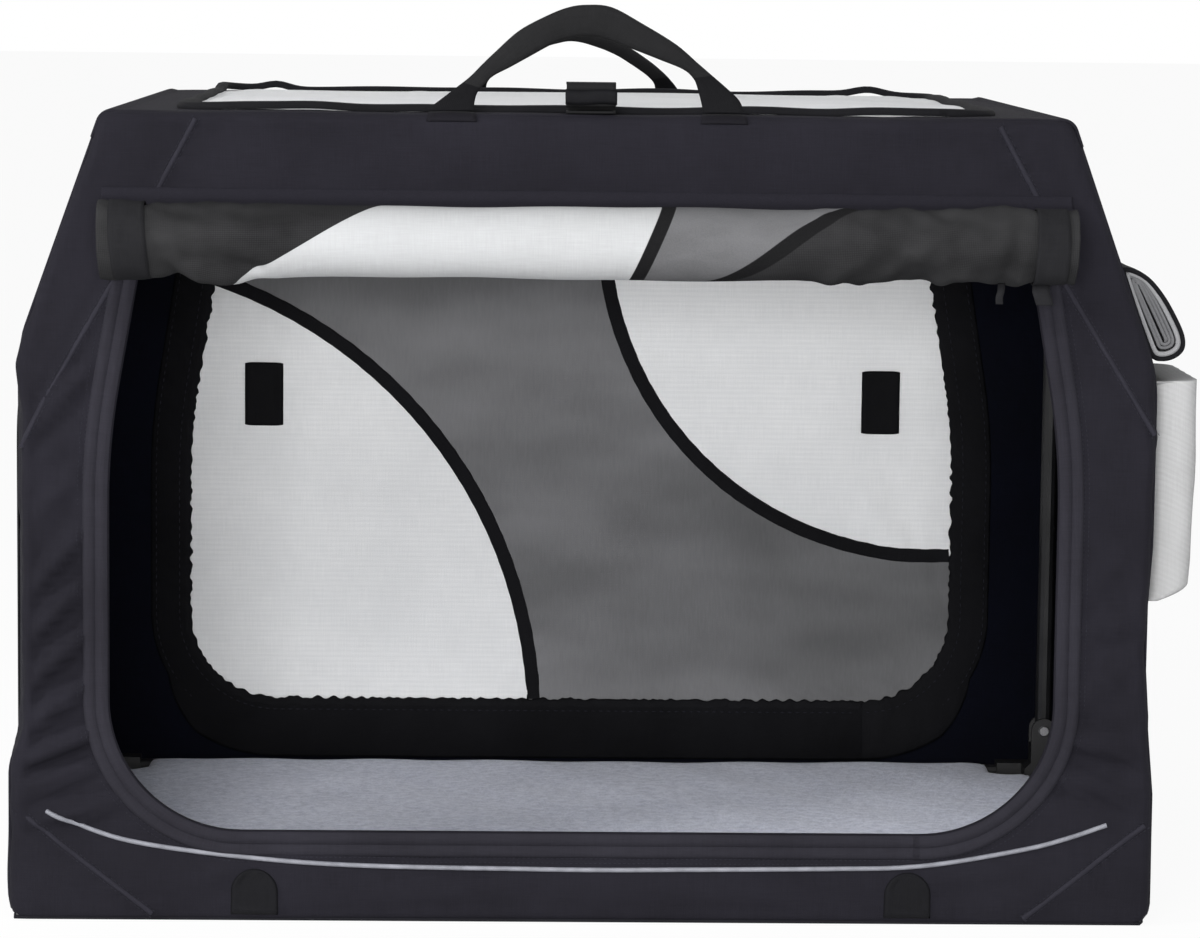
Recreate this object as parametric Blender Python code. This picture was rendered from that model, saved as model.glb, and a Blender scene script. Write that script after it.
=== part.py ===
# Soft folding dog crate: a fabric box on a folding frame of bent steel tube.
# Metres, +Z up, origin at the bottom centre, X along the long side, the front door facing -Y.
# The two end frames are hinged low down on the base and swing inward; the roof frame then drops.
import math

import bmesh
import bpy
from mathutils import Matrix, Quaternion, Vector

# Overall sizes of the fabric box
BASE_LENGTH = 0.990
DEPTH = 0.670
ROOF_HEIGHT = 0.707
SHOULDER_BELOW_ROOF = 0.222
ROOF_LENGTH = 0.834
ROOF_CORNER = 0.014
ROOF_SKIRT = 0.012
FABRIC = 0.002
TRIM = 0.0015
SEAM_GAP = 0.0003

# Steel tube frame
TUBE_RADIUS = 0.008
TUBE_WALL = 0.001
WALL_TO_TUBE = 0.001
LEFT_BOW_INSET = 0.0505
RIGHT_BOW_INSET = 0.0305
LEFT_PIVOT_HEIGHT = 0.046
RIGHT_PIVOT_HEIGHT = 0.062
BOW_BELOW_RAIL = 0.0298
BOW_FOOT_TAIL = 0.010
KNEE_RADIUS = 0.055
BOW_CORNER_RADIUS = 0.045
RAIL_INSET = 0.0145
RAIL_DROP = 0.0142
PIN_RADIUS = 0.003
PIN_HEAD_RADIUS = 0.0055
PIN_HEAD = 0.002

# Fold: how far each end swings, and how far the roof comes down meanwhile
LEFT_FOLD = math.radians(84.0)
RIGHT_FOLD_SHARE = 0.95
ROOF_TRAVEL = 0.540

# Plastic fittings
BRACKET_SLEEVE_LENGTH = 0.052
BRACKET_WALL = 0.003
BRACKET_EAR = 0.004
BRACKET_EAR_RADIUS = 0.0125
SLOT_PLAY = 0.0004
FOOT_ROOM = 0.0145
CORNER_SLEEVE = 0.034
CORNER_REACH = 0.0215
CORNER_BEND = 0.0115
CORNER_WALL = 0.003
CLIP_WIDTH = 0.030
CLIP_WALL = 0.003
CLIP_SETTING = 0.200
CLIP_MOUTH_PLAY = 0.0005
CLIP_JAW = 0.013
CLIP_ROOM = 0.0035
CLIP_NECK_SHARES = (0.7, 0.75)

# Floor
FLOOR_THICKNESS = 0.003
MAT_TOP = 0.028
MAT_TO_END = 0.017
MAT_TO_TUBE = 0.0005
MAT_NOTCH_LENGTH = 0.042
MAT_NOTCH_DEPTH = 0.060
MAT_EDGE = 0.006

# Doors and windows
FRONT_DOOR_HALF = 0.411
FRONT_DOOR_LEAN_IN = 0.034
FRONT_DOOR_CORNER = 0.115
FRONT_DOOR_LEAN_SPAN = 0.185
REAR_DOOR_HALF = 0.392
REAR_DOOR_LEAN_IN = 0.040
REAR_DOOR_CORNER = 0.090
REAR_DOOR_LEAN_SPAN = 0.245
DOOR_BOTTOM = 0.080
DOOR_BELOW_ROOF = 0.102
DOOR_TOP_CORNER = 0.030
BINDING_WIDTH = 0.018
PIPING_WIDTH = 0.014
LOW_ARC_CENTRE = (-0.517, 0.058)
LOW_ARC_RADIUS = 0.480
HIGH_ARC_BELOW_DOOR_TOP = 0.033
HIGH_ARC_X = 0.368
HIGH_ARC_RADIUS = 0.338
TAB_WIDTH = 0.039
TAB_HEIGHT = 0.065
TAB_SETTING = 0.315
TAB_BELOW_DOOR_TOP = 0.217
END_COVER_TO_EDGE = 0.075
END_COVER_BOTTOM = 0.100
END_COVER_BELOW_ROOF = 0.237
END_COVER_CORNER = 0.060
MESH_TO_POCKET = 0.040
MESH_TO_EDGE = 0.060

# Rolled-up front door and its ties
ROLL_RADIUS = 0.0315
ROLL_CORE = 0.009
ROLL_TURNS = 3.5
ROLL_CLOTH = 0.0026
ROLL_PAST_DOOR = 0.005
ROLL_BELOW_ROOF = 0.110
ROLL_HEM_BELOW_ROOF = 0.062
ROLL_SAG = 0.0015
ROLL_STEPS = 14
ROLL_SPANS = 6
TIE_WIDTH = 0.030
TIE_FROM_ROLL_END = 0.027
TIE_STAND = 0.0008

# Trims on the front
REFLECTOR_WIDTH = 0.005
REFLECTOR_PAST_DOOR = 0.051
REFLECTOR_BELOW_DOOR = 0.030
REFLECTOR_RISE = 0.044
PATCH_WIDTH = 0.045
PATCH_FOOT = 0.006
PATCH_HEIGHT = 0.043
PATCH_SETTING = 0.286

# Roof
HATCH_TO_END = 0.062
HATCH_TO_EDGE = 0.037
HATCH_CORNER = 0.040
STRAP_WIDTH = 0.047
STRAP_DEPTH = 0.022
STRAP_FOLD = 0.0058
STRAP_CLOTH = 0.0028
STRAP_TO_FRONT = 0.0215
STRAP_LAYERS = 5
HANDLE_SPREAD = 0.118
HANDLE_RISE = 0.072
HANDLE_SHARES = ((1.0, 0.0), (0.92, 0.27), (0.76, 0.55), (0.52, 0.79), (0.25, 0.95), (0.0, 1.0))
HANDLE_LIFT = 0.0002
HANDLE_EDGE = 0.0014
REAR_HANDLE_LEAN = math.radians(35.0)
HANDLE_BAND = 0.028
HANDLE_THICKNESS = 0.005
HANDLE_INSET = 0.004

# Right end: rolled window cover and the pocket under it
COVER_ROLL_TOP_BELOW_ROOF = 0.131
COVER_ROLL_DROP = 0.0875
COVER_ROLL_REACH = 0.032
COVER_ROLL_TO_EDGE = 0.037
COVER_CLOTH = 0.004
COVER_HEM = 0.010
COVER_INNER_SHARE = 0.55
POCKET_TO_FRONT = 0.040
POCKET_WIDTH = 0.170
POCKET_BELOW_ROOF = 0.237
POCKET_DROP = 0.198
POCKET_REACH = 0.056
POCKET_CORNER = 0.022
POCKET_SLOPE_SHARE = 0.35

# Zip sliders
SLIDER_LENGTH = 0.014
SLIDER_WIDTH = 0.009
SLIDER_HEIGHT = 0.0035
SLIDER_NECK_SHARE = 0.17
REAR_SLIDER_SETTING = 0.012
ROOF_SLIDER_SETTING = 0.300

# Resolution of the turned and bent shapes
TUBE_SIDES = 12
BEND_STEPS = 4
ARC_STEPS = 8
ROUND_SIDES = 16
FINE_STEPS = 16
CUT_OVERRUN = 0.002

# Sizes worked out from the ones above
HALF_LENGTH = BASE_LENGTH / 2
SHOULDER_HEIGHT = ROOF_HEIGHT - SHOULDER_BELOW_ROOF
DOOR_TOP = ROOF_HEIGHT - DOOR_BELOW_ROOF
FRONT_DOOR_LEAN_FROM = DOOR_TOP - FRONT_DOOR_LEAN_SPAN
REAR_DOOR_LEAN_FROM = DOOR_TOP - REAR_DOOR_LEAN_SPAN
HIGH_ARC_CENTRE = (HIGH_ARC_X, DOOR_TOP - HIGH_ARC_BELOW_DOOR_TOP)
TAB_MIDDLE = DOOR_TOP - TAB_BELOW_DOOR_TOP
END_COVER_TOP = ROOF_HEIGHT - END_COVER_BELOW_ROOF
ROLL_HEIGHT = ROOF_HEIGHT - ROLL_BELOW_ROOF
ROLL_HEM_TOP = ROOF_HEIGHT - ROLL_HEM_BELOW_ROOF
COVER_ROLL_TOP = ROOF_HEIGHT - COVER_ROLL_TOP_BELOW_ROOF
COVER_ROLL_FOOT = COVER_ROLL_TOP - COVER_ROLL_DROP
POCKET_TOP = ROOF_HEIGHT - POCKET_BELOW_ROOF
POCKET_FOOT = POCKET_TOP - POCKET_DROP
HALF_DEPTH = DEPTH / 2
INNER_HALF_DEPTH = HALF_DEPTH - FABRIC - SEAM_GAP
RAIL_HALF = HALF_DEPTH - RAIL_INSET
LEFT_BOW_HALF = RAIL_HALF - LEFT_BOW_INSET
RIGHT_BOW_HALF = RAIL_HALF - RIGHT_BOW_INSET
MAT_HALF_LENGTH = HALF_LENGTH - MAT_TO_END
MAT_HALF_DEPTH = RAIL_HALF - TUBE_RADIUS - MAT_TO_TUBE
END_COVER_HALF = HALF_DEPTH - END_COVER_TO_EDGE
HATCH_HALF_LENGTH = ROOF_LENGTH / 2 - HATCH_TO_END
HATCH_HALF_DEPTH = HALF_DEPTH - HATCH_TO_EDGE
STRAP_MIDDLE_Y = STRAP_TO_FRONT - HALF_DEPTH
COVER_ROLL_HALF = HALF_DEPTH - COVER_ROLL_TO_EDGE
POCKET_FRONT = POCKET_TO_FRONT - HALF_DEPTH
POCKET_REAR = POCKET_FRONT + POCKET_WIDTH
MESH_FRONT = POCKET_REAR + MESH_TO_POCKET
MESH_REAR = HALF_DEPTH - MESH_TO_EDGE
LEAN_RUN = (BASE_LENGTH - ROOF_LENGTH) / 2
LEAN_RISE = ROOF_HEIGHT - SHOULDER_HEIGHT
LEAN_SLOPE = LEAN_RUN / LEAN_RISE
LEAN_LENGTH = math.hypot(LEAN_RUN, LEAN_RISE)
TUBE_INSET = FABRIC + WALL_TO_TUBE + TUBE_RADIUS
TUBE_BORE = TUBE_RADIUS - TUBE_WALL
PIVOT_X = HALF_LENGTH - TUBE_INSET
RAIL_HEIGHT = ROOF_HEIGHT - RAIL_DROP
BOW_TOP_HEIGHT = RAIL_HEIGHT - BOW_BELOW_RAIL
FRONT_DOOR_TOP_HALF = FRONT_DOOR_HALF - FRONT_DOOR_LEAN_IN
REAR_DOOR_TOP_HALF = REAR_DOOR_HALF - REAR_DOOR_LEAN_IN
ROLL_HALF = FRONT_DOOR_HALF + ROLL_PAST_DOOR
TIE_SETTING = ROLL_HALF - TIE_FROM_ROLL_END
REFLECTOR_HALF = FRONT_DOOR_HALF + REFLECTOR_PAST_DOOR
REFLECTOR_LOW = DOOR_BOTTOM - REFLECTOR_BELOW_DOOR
BASE_TUBE_HEIGHT = FLOOR_THICKNESS + SEAM_GAP + TUBE_RADIUS
ROLL_Y = -(HALF_DEPTH + SEAM_GAP + TRIM + SEAM_GAP + ROLL_RADIUS + ROLL_SAG)


def wall_x(height, inset=0.0):
    """Half-length of the box at a height, measured to a surface that lies inset inside the fabric's face."""
    upright = HALF_LENGTH - inset
    leaning = HALF_LENGTH - (height - SHOULDER_HEIGHT) * LEAN_SLOPE - inset * LEAN_LENGTH / LEAN_RISE
    return min(upright, leaning)


BOW_TOP_X = wall_x(BOW_TOP_HEIGHT, TUBE_INSET + CLIP_ROOM)
TOP_TUBE_X = wall_x(RAIL_HEIGHT, TUBE_INSET + CLIP_ROOM)
KNEE_HEIGHT = SHOULDER_HEIGHT - TUBE_INSET * (LEAN_LENGTH - LEAN_RISE) / LEAN_RUN
ROOF_CORNER_Z = ROOF_HEIGHT - ROOF_CORNER
ROOF_CORNER_X = wall_x(ROOF_CORNER_Z, ROOF_CORNER)
LEAN_ANGLE = math.atan(LEAN_SLOPE)

for old in list(bpy.data.objects):
    bpy.data.objects.remove(old, do_unlink=True)


# Materials
def material(name, colour, roughness, metallic=0.0):
    made = bpy.data.materials.new(name)
    made.use_nodes = True
    shader = made.node_tree.nodes["Principled BSDF"]
    shader.inputs["Base Color"].default_value = (*colour, 1.0)
    shader.inputs["Roughness"].default_value = roughness
    shader.inputs["Metallic"].default_value = metallic
    made.diffuse_color = (*colour, 1.0)
    return made


CHARCOAL = material("charcoal_polyester", (0.022, 0.022, 0.028), 0.85)
LIGHT_GREY = material("light_grey_polyester", (0.66, 0.67, 0.69), 0.80)
MID_GREY = material("mid_grey_polyester", (0.16, 0.16, 0.17), 0.80)
BLACK_BINDING = material("black_binding", (0.006, 0.006, 0.007), 0.75)
BLACK_MESH = material("black_mesh", (0.030, 0.030, 0.028), 0.90)
WEBBING = material("black_webbing", (0.024, 0.024, 0.025), 0.80)
REFLECTIVE = material("reflective_piping", (0.34, 0.35, 0.39), 0.45)
FLEECE = material("grey_fleece", (0.34, 0.34, 0.40), 0.95)
FLOOR_CLOTH = material("floor_cloth", (0.015, 0.015, 0.018), 0.85)
TUBE_STEEL = material("black_tube_steel", (0.030, 0.030, 0.032), 0.35, 0.6)
PIN_STEEL = material("pin_steel", (0.55, 0.55, 0.56), 0.35, 1.0)
FITTING = material("black_fitting_plastic", (0.018, 0.018, 0.019), 0.50)
ZIP_METAL = material("zip_slider_metal", (0.05, 0.05, 0.052), 0.40, 0.8)


# Helpers for outlines
def arc(centre, radius, start, end, steps):
    """Points of an arc in a plane, from one angle in degrees to another."""
    points = []
    for index in range(steps + 1):
        angle = math.radians(start + (end - start) * index / steps)
        points.append((centre[0] + radius * math.cos(angle), centre[1] + radius * math.sin(angle)))
    return points


def rounded_rectangle(low, high, radius, steps=ARC_STEPS):
    """Outline of a rectangle with round corners, anticlockwise from its lower right corner."""
    points = arc((high[0] - radius, low[1] + radius), radius, -90, 0, steps)
    points += arc((high[0] - radius, high[1] - radius), radius, 0, 90, steps)
    points += arc((low[0] + radius, high[1] - radius), radius, 90, 180, steps)
    points += arc((low[0] + radius, low[1] + radius), radius, 180, 270, steps)
    return points


def door_outline(half, top_half, corner, lean_from, grow=0.0):
    """Outline of a door: upright sides that lean inward from lean_from up, and round corners."""
    lean = math.atan2(half - top_half, DOOR_TOP - lean_from)
    lean_degrees = math.degrees(lean)
    side = half + grow
    bottom = DOOR_BOTTOM - grow
    radius = corner + grow
    top_radius = DOOR_TOP_CORNER + grow
    top = DOOR_TOP + grow
    bend = lean_from + grow * math.tan(lean / 2)
    right = arc((side - radius, bottom + radius), radius, -90, 0, ARC_STEPS)
    sweep_radius = corner
    bend_low = bend - sweep_radius * math.tan(lean / 2)
    right += arc((side - sweep_radius, bend_low), sweep_radius, 0, lean_degrees, 2)
    edge_x = side - (top - top_radius - bend) * math.tan(lean)
    centre = (edge_x - top_radius / math.cos(lean), top - top_radius)
    right += arc(centre, top_radius, lean_degrees, 90, ARC_STEPS // 2)
    left = [(-x, z) for x, z in reversed(right)]
    return right + left


def wall_outline():
    """Outline of the front and rear walls: the six-sided end of the box, with round roof corners."""
    lean_degrees = math.degrees(math.atan(LEAN_SLOPE))
    centre_z = ROOF_HEIGHT - ROOF_CORNER
    centre_x = wall_x(centre_z, ROOF_CORNER)
    right = [(HALF_LENGTH, 0.0), (HALF_LENGTH, SHOULDER_HEIGHT)]
    right += arc((centre_x, centre_z), ROOF_CORNER, lean_degrees, 90, BEND_STEPS)
    left = [(-x, z) for x, z in reversed(right)]
    return right + left


# Helpers for solids
def place(axis, first, second, along):
    """A point given in a plane and along that plane's normal axis."""
    if axis == "X":
        return Vector((along, first, second))
    if axis == "Y":
        return Vector((first, along, second))
    return Vector((first, second, along))


def make_object(name, made, look, smooth_angle=None):
    """Turns a bmesh into a named object with its own material, its faces pointing out."""
    bmesh.ops.recalc_face_normals(made, faces=made.faces)
    mesh = bpy.data.meshes.new(name)
    made.to_mesh(mesh)
    made.free()
    mesh.materials.append(look)
    if smooth_angle is not None:
        mesh.shade_smooth()
        mesh.set_sharp_from_angle(angle=math.radians(smooth_angle))
    part = bpy.data.objects.new(name, mesh)
    bpy.context.scene.collection.objects.link(part)
    return part


def prism(name, outline, axis, low, high, look, smooth_angle=None):
    """Extrudes an outline along an axis."""
    made = bmesh.new()
    face = made.faces.new([made.verts.new(place(axis, a, b, low)) for a, b in outline])
    grown = bmesh.ops.extrude_face_region(made, geom=[face])
    moved = [item for item in grown["geom"] if isinstance(item, bmesh.types.BMVert)]
    bmesh.ops.translate(made, verts=moved, vec=place(axis, 0.0, 0.0, high - low))
    return make_object(name, made, look, smooth_angle)


def band_edges(path, thickness):
    """The two edges of a band that follows a path in a plane."""
    first_edge = []
    second_edge = []
    for index, point in enumerate(path):
        here = Vector(point)
        before = Vector(path[max(index - 1, 0)])
        after = Vector(path[min(index + 1, len(path) - 1)])
        into = (here - before).normalized() if index else (after - here).normalized()
        out = (after - here).normalized() if index < len(path) - 1 else into
        middle = (into + out).normalized()
        normal = Vector((-middle.y, middle.x))
        reach = thickness / 2 / max(normal.dot(Vector((-into.y, into.x))), 0.5)
        first_edge.append(here + normal * reach)
        second_edge.append(here - normal * reach)
    return first_edge, second_edge


def band(name, path, thickness, axis, stations, look, smooth_angle=None, swell=None):
    """A strip of cloth that follows a path in a plane and runs along the plane's axis through the stations."""
    first_edge, second_edge = band_edges(path, thickness)
    made = bmesh.new()
    rings = []
    for station in stations:
        ring = []
        for a, b in first_edge + list(reversed(second_edge)):
            if swell:
                a, b = swell(a, b, station)
            ring.append(made.verts.new(place(axis, a, b, station)))
        rings.append(ring)
    count = len(rings[0])
    for near, far in zip(rings, rings[1:]):
        for index in range(count):
            after = (index + 1) % count
            made.faces.new((near[index], near[after], far[after], far[index]))
    half = count // 2
    for ring in (rings[0], rings[-1]):
        for index in range(half - 1):
            opposite = count - 1 - index
            made.faces.new((ring[index], ring[index + 1], ring[opposite - 1], ring[opposite]))
    return make_object(name, made, look, smooth_angle)


def rounded_path(corners, radii, steps=BEND_STEPS):
    """A path through corners whose bends have the given radii."""
    points = [corners[0]]
    for before, here, after, radius in zip(corners, corners[1:], corners[2:], radii):
        into = (here - before).normalized()
        out = (after - here).normalized()
        turn = into.angle(out)
        setback = radius * math.tan(turn / 2)
        axis = into.cross(out).normalized()
        inward = axis.cross(into)
        start = here - into * setback
        centre = start + inward * radius
        for index in range(steps + 1):
            spin = Quaternion(axis, turn * index / steps)
            points.append(centre + spin @ (start - centre))
    points.append(corners[-1])
    return points


def tube(name, path, look, radius=TUBE_RADIUS, bore=TUBE_BORE, sides=TUBE_SIDES):
    """A hollow round tube swept along a path, open at both ends."""
    made = bmesh.new()
    tangents = []
    for index, here in enumerate(path):
        before = path[max(index - 1, 0)]
        after = path[min(index + 1, len(path) - 1)]
        tangents.append(((here - before).normalized() + (after - here).normalized()).normalized())
    normal = tangents[0].orthogonal().normalized()
    outer = []
    inner = []
    for index, here in enumerate(path):
        if index:
            normal = tangents[index - 1].rotation_difference(tangents[index]) @ normal
        side = tangents[index].cross(normal)
        for rings, size in ((outer, radius), (inner, bore)):
            ring = []
            for step in range(sides):
                angle = math.tau * step / sides
                offset = normal * math.cos(angle) + side * math.sin(angle)
                ring.append(made.verts.new(here + offset * size))
            rings.append(ring)
    for rings in (outer, inner):
        for near, far in zip(rings, rings[1:]):
            for step in range(sides):
                after = (step + 1) % sides
                made.faces.new((near[step], near[after], far[after], far[step]))
    for end in (0, -1):
        for step in range(sides):
            after = (step + 1) % sides
            made.faces.new((outer[end][step], outer[end][after], inner[end][after], inner[end][step]))
    return make_object(name, made, look, 40)


def turned(name, profile, axis, centre, look, sides=ROUND_SIDES):
    """Revolves a profile of (radius, distance along the axis) points about an axis through a centre."""
    made = bmesh.new()
    rings = []
    for reach, along in profile:
        if reach == 0.0:
            rings.append([made.verts.new(centre + place(axis, 0.0, 0.0, along))])
            continue
        ring = []
        for step in range(sides):
            angle = math.tau * (step + 0.5) / sides
            offset = place(axis, reach * math.cos(angle), reach * math.sin(angle), along)
            ring.append(made.verts.new(centre + offset))
        rings.append(ring)
    for near, far in zip(rings, rings[1:]):
        for step in range(sides):
            after = (step + 1) % sides
            if len(near) == 1:
                made.faces.new((near[0], far[step], far[after]))
            elif len(far) == 1:
                made.faces.new((near[step], near[after], far[0]))
            else:
                made.faces.new((near[step], near[after], far[after], far[step]))
    return make_object(name, made, look, 40)


def weld(part):
    """Joins the doubled ring of points where a closed profile meets itself."""
    made = bmesh.new()
    made.from_mesh(part.data)
    bmesh.ops.remove_doubles(made, verts=made.verts, dist=SEAM_GAP / 10)
    bmesh.ops.recalc_face_normals(made, faces=made.faces)
    made.to_mesh(part.data)
    made.free()


def cutter(name, part):
    part.name = name
    part.hide_render = True
    part.display_type = "WIRE"
    return part


def boolean(part, tool, operation):
    change = part.modifiers.new(tool.name, "BOOLEAN")
    change.operation = operation
    change.solver = "EXACT"
    change.object = tool


def cut(part, *tools):
    for tool in tools:
        boolean(part, tool, "DIFFERENCE")


def round_hole(name, axis, centre, radius, low, high):
    """A cutter for a round hole along an axis, with two positions along it as its ends."""
    profile = [(0.0, low), (radius, low), (radius, high), (0.0, high)]
    return cutter(name, turned(name, profile, axis, centre, FITTING))


# Floor: a stiffened base panel and the fleece mat that lies between the base tubes
def make_floor():
    half = HALF_LENGTH - FABRIC - SEAM_GAP
    outline = rounded_rectangle((-half, -INNER_HALF_DEPTH), (half, INNER_HALF_DEPTH), FLOOR_THICKNESS, 2)
    prism("floor_panel", outline, "Z", 0.0, FLOOR_THICKNESS, FLOOR_CLOTH)
    made = bmesh.new()
    outer = []
    for x_sign, y_sign in ((1, 1), (-1, 1), (-1, -1), (1, -1)):
        step_in = (x_sign * (MAT_HALF_LENGTH - MAT_NOTCH_LENGTH), y_sign * MAT_HALF_DEPTH)
        step_corner = (x_sign * (MAT_HALF_LENGTH - MAT_NOTCH_LENGTH),
                       y_sign * (MAT_HALF_DEPTH - MAT_NOTCH_DEPTH))
        step_out = (x_sign * MAT_HALF_LENGTH, y_sign * (MAT_HALF_DEPTH - MAT_NOTCH_DEPTH))
        corner = [step_in, step_corner, step_out]
        outer += reversed(corner) if x_sign * y_sign > 0 else corner
    face = made.faces.new([made.verts.new((x, y, FLOOR_THICKNESS + SEAM_GAP)) for x, y in outer])
    grown = bmesh.ops.extrude_face_region(made, geom=[face])
    moved = [item for item in grown["geom"] if isinstance(item, bmesh.types.BMVert)]
    bmesh.ops.translate(made, verts=moved, vec=(0.0, 0.0, MAT_TOP - FLOOR_THICKNESS - SEAM_GAP))
    mat = make_object("fleece_mat", made, FLEECE)
    edge = mat.modifiers.new("soft_edge", "BEVEL")
    edge.width = MAT_EDGE
    edge.segments = 2
    edge.limit_method = "ANGLE"


# Front and rear walls with their doorways
def make_wall(name, side, doorway):
    near, far = sorted((side * HALF_DEPTH, side * (HALF_DEPTH - FABRIC)))
    wall = prism(name, wall_outline(), "Y", near, far, CHARCOAL)
    hole = prism(name + "_doorway", doorway, "Y", near - CUT_OVERRUN, far + CUT_OVERRUN, CHARCOAL)
    cut(wall, cutter(hole.name, hole))
    return wall


def make_binding(name, side, half, top_half, corner, lean_from):
    """The zip tape and binding sewn round a doorway, on the outside."""
    near, far = sorted((side * (HALF_DEPTH + SEAM_GAP), side * (HALF_DEPTH + SEAM_GAP + TRIM)))
    outside = door_outline(half, top_half, corner, lean_from, BINDING_WIDTH)
    binding = prism(name, outside, "Y", near, far, BLACK_BINDING)
    inside = door_outline(half, top_half, corner, lean_from)
    hole = prism(name + "_hole", inside, "Y", near - CUT_OVERRUN, far + CUT_OVERRUN, BLACK_BINDING)
    cut(binding, cutter(hole.name, hole))


def make_front():
    doorway = door_outline(FRONT_DOOR_HALF, FRONT_DOOR_TOP_HALF, FRONT_DOOR_CORNER, FRONT_DOOR_LEAN_FROM)
    make_wall("front_wall", -1, doorway)
    make_binding("front_zip_binding", -1, FRONT_DOOR_HALF, FRONT_DOOR_TOP_HALF, FRONT_DOOR_CORNER,
                 FRONT_DOOR_LEAN_FROM)
    path = []
    for index in range(FINE_STEPS + 1):
        share = 2 * index / FINE_STEPS - 1
        path.append((share * REFLECTOR_HALF, REFLECTOR_LOW + REFLECTOR_RISE * abs(share) ** 4))
    face = -(HALF_DEPTH + SEAM_GAP)
    band("front_reflective_piping", path, REFLECTOR_WIDTH, "Y", (face - TRIM, face), REFLECTIVE)
    for side, word in ((-1, "left"), (1, "right")):
        middle = side * PATCH_SETTING
        radius = PATCH_WIDTH / 2
        straight = PATCH_FOOT + PATCH_HEIGHT - radius
        outline = [(middle - radius, PATCH_FOOT), (middle + radius, PATCH_FOOT)]
        outline += arc((middle, straight), radius, 0, 180, ARC_STEPS)
        prism("front_patch_" + word, outline, "Y", face - TRIM, face, BLACK_BINDING)


# Rear wall: the same doorway, closed by a door sewn from three fabric fields
def make_rear():
    sizes = (REAR_DOOR_HALF, REAR_DOOR_TOP_HALF, REAR_DOOR_CORNER, REAR_DOOR_LEAN_FROM)
    make_wall("rear_wall", 1, door_outline(*sizes))
    make_binding("rear_zip_binding", 1, *sizes)
    near = HALF_DEPTH - FABRIC
    far = HALF_DEPTH
    shape = door_outline(*sizes, -SEAM_GAP)
    low_radius = LOW_ARC_RADIUS - PIPING_WIDTH / 2
    high_radius = HIGH_ARC_RADIUS - PIPING_WIDTH / 2
    low_centre = Vector((LOW_ARC_CENTRE[0], 0.0, LOW_ARC_CENTRE[1]))
    high_centre = Vector((HIGH_ARC_CENTRE[0], 0.0, HIGH_ARC_CENTRE[1]))
    ends = (near - CUT_OVERRUN, far + CUT_OVERRUN)
    fields = (
        ("rear_door_low_field", low_centre, -SEAM_GAP, low_radius, LIGHT_GREY),
        ("rear_door_high_field", high_centre, -SEAM_GAP, high_radius, LIGHT_GREY),
    )
    for name, centre, trim, radius, look in fields:
        field = prism(name, shape, "Y", near, far, look)
        profile = [(0.0, ends[0]), (radius + trim, ends[0]), (radius + trim, ends[1]), (0.0, ends[1])]
        boolean(field, cutter(name + "_limit", turned(name + "_limit", profile, "Y", centre, look, 64)),
                "INTERSECT")
    middle = prism("rear_door_middle_field", shape, "Y", near, far, MID_GREY)
    for name, centre, radius in (("low", low_centre, LOW_ARC_RADIUS), ("high", high_centre, HIGH_ARC_RADIUS)):
        outer = radius + PIPING_WIDTH / 2 + SEAM_GAP
        profile = [(0.0, ends[0]), (outer, ends[0]), (outer, ends[1]), (0.0, ends[1])]
        tool = turned("middle_field_" + name, profile, "Y", centre, MID_GREY, 64)
        cut(middle, cutter(tool.name, tool))
        piping = prism("rear_door_" + name + "_piping", shape, "Y", near, far, BLACK_BINDING)
        inner = radius - PIPING_WIDTH / 2
        ring = [(inner, ends[0]), (outer - SEAM_GAP, ends[0]), (outer - SEAM_GAP, ends[1]), (inner, ends[1]),
                (inner, ends[0])]
        tool = turned("piping_" + name, ring, "Y", centre, BLACK_BINDING, 64)
        weld(tool)
        boolean(piping, cutter(tool.name, tool), "INTERSECT")
    face = near - SEAM_GAP
    for side, word in ((-1, "left"), (1, "right")):
        x = side * TAB_SETTING
        low = (x - TAB_WIDTH / 2, TAB_MIDDLE - TAB_HEIGHT / 2)
        high = (x + TAB_WIDTH / 2, TAB_MIDDLE + TAB_HEIGHT / 2)
        prism("rear_tie_patch_" + word, rounded_rectangle(low, high, TRIM, 1), "Y", face - TRIM, face,
              BLACK_BINDING)


# End walls: upright cloth that leans inward above the shoulder, up to the roof cover's skirt
def skirt_point(distance, inset):
    """A point on the leaning wall, a distance below the roof's round corner."""
    reach = ROOF_CORNER - inset
    x = ROOF_CORNER_X + reach * math.cos(LEAN_ANGLE) + distance * math.sin(LEAN_ANGLE)
    z = ROOF_CORNER_Z + reach * math.sin(LEAN_ANGLE) - distance * math.cos(LEAN_ANGLE)
    return x, z


def mirrored(points, side):
    return [(side * x, z) for x, z in points]


def make_end_wall(name, side):
    middle = FABRIC / 2
    shoulder = (wall_x(0.0, middle), SHOULDER_HEIGHT - middle * math.tan(LEAN_ANGLE / 2))
    path = [(wall_x(0.0, middle), 0.0), shoulder, skirt_point(ROOF_SKIRT + SEAM_GAP, middle)]
    ends = (-INNER_HALF_DEPTH, INNER_HALF_DEPTH)
    return band(name, mirrored(path, side), FABRIC, "Y", ends, CHARCOAL)


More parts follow.
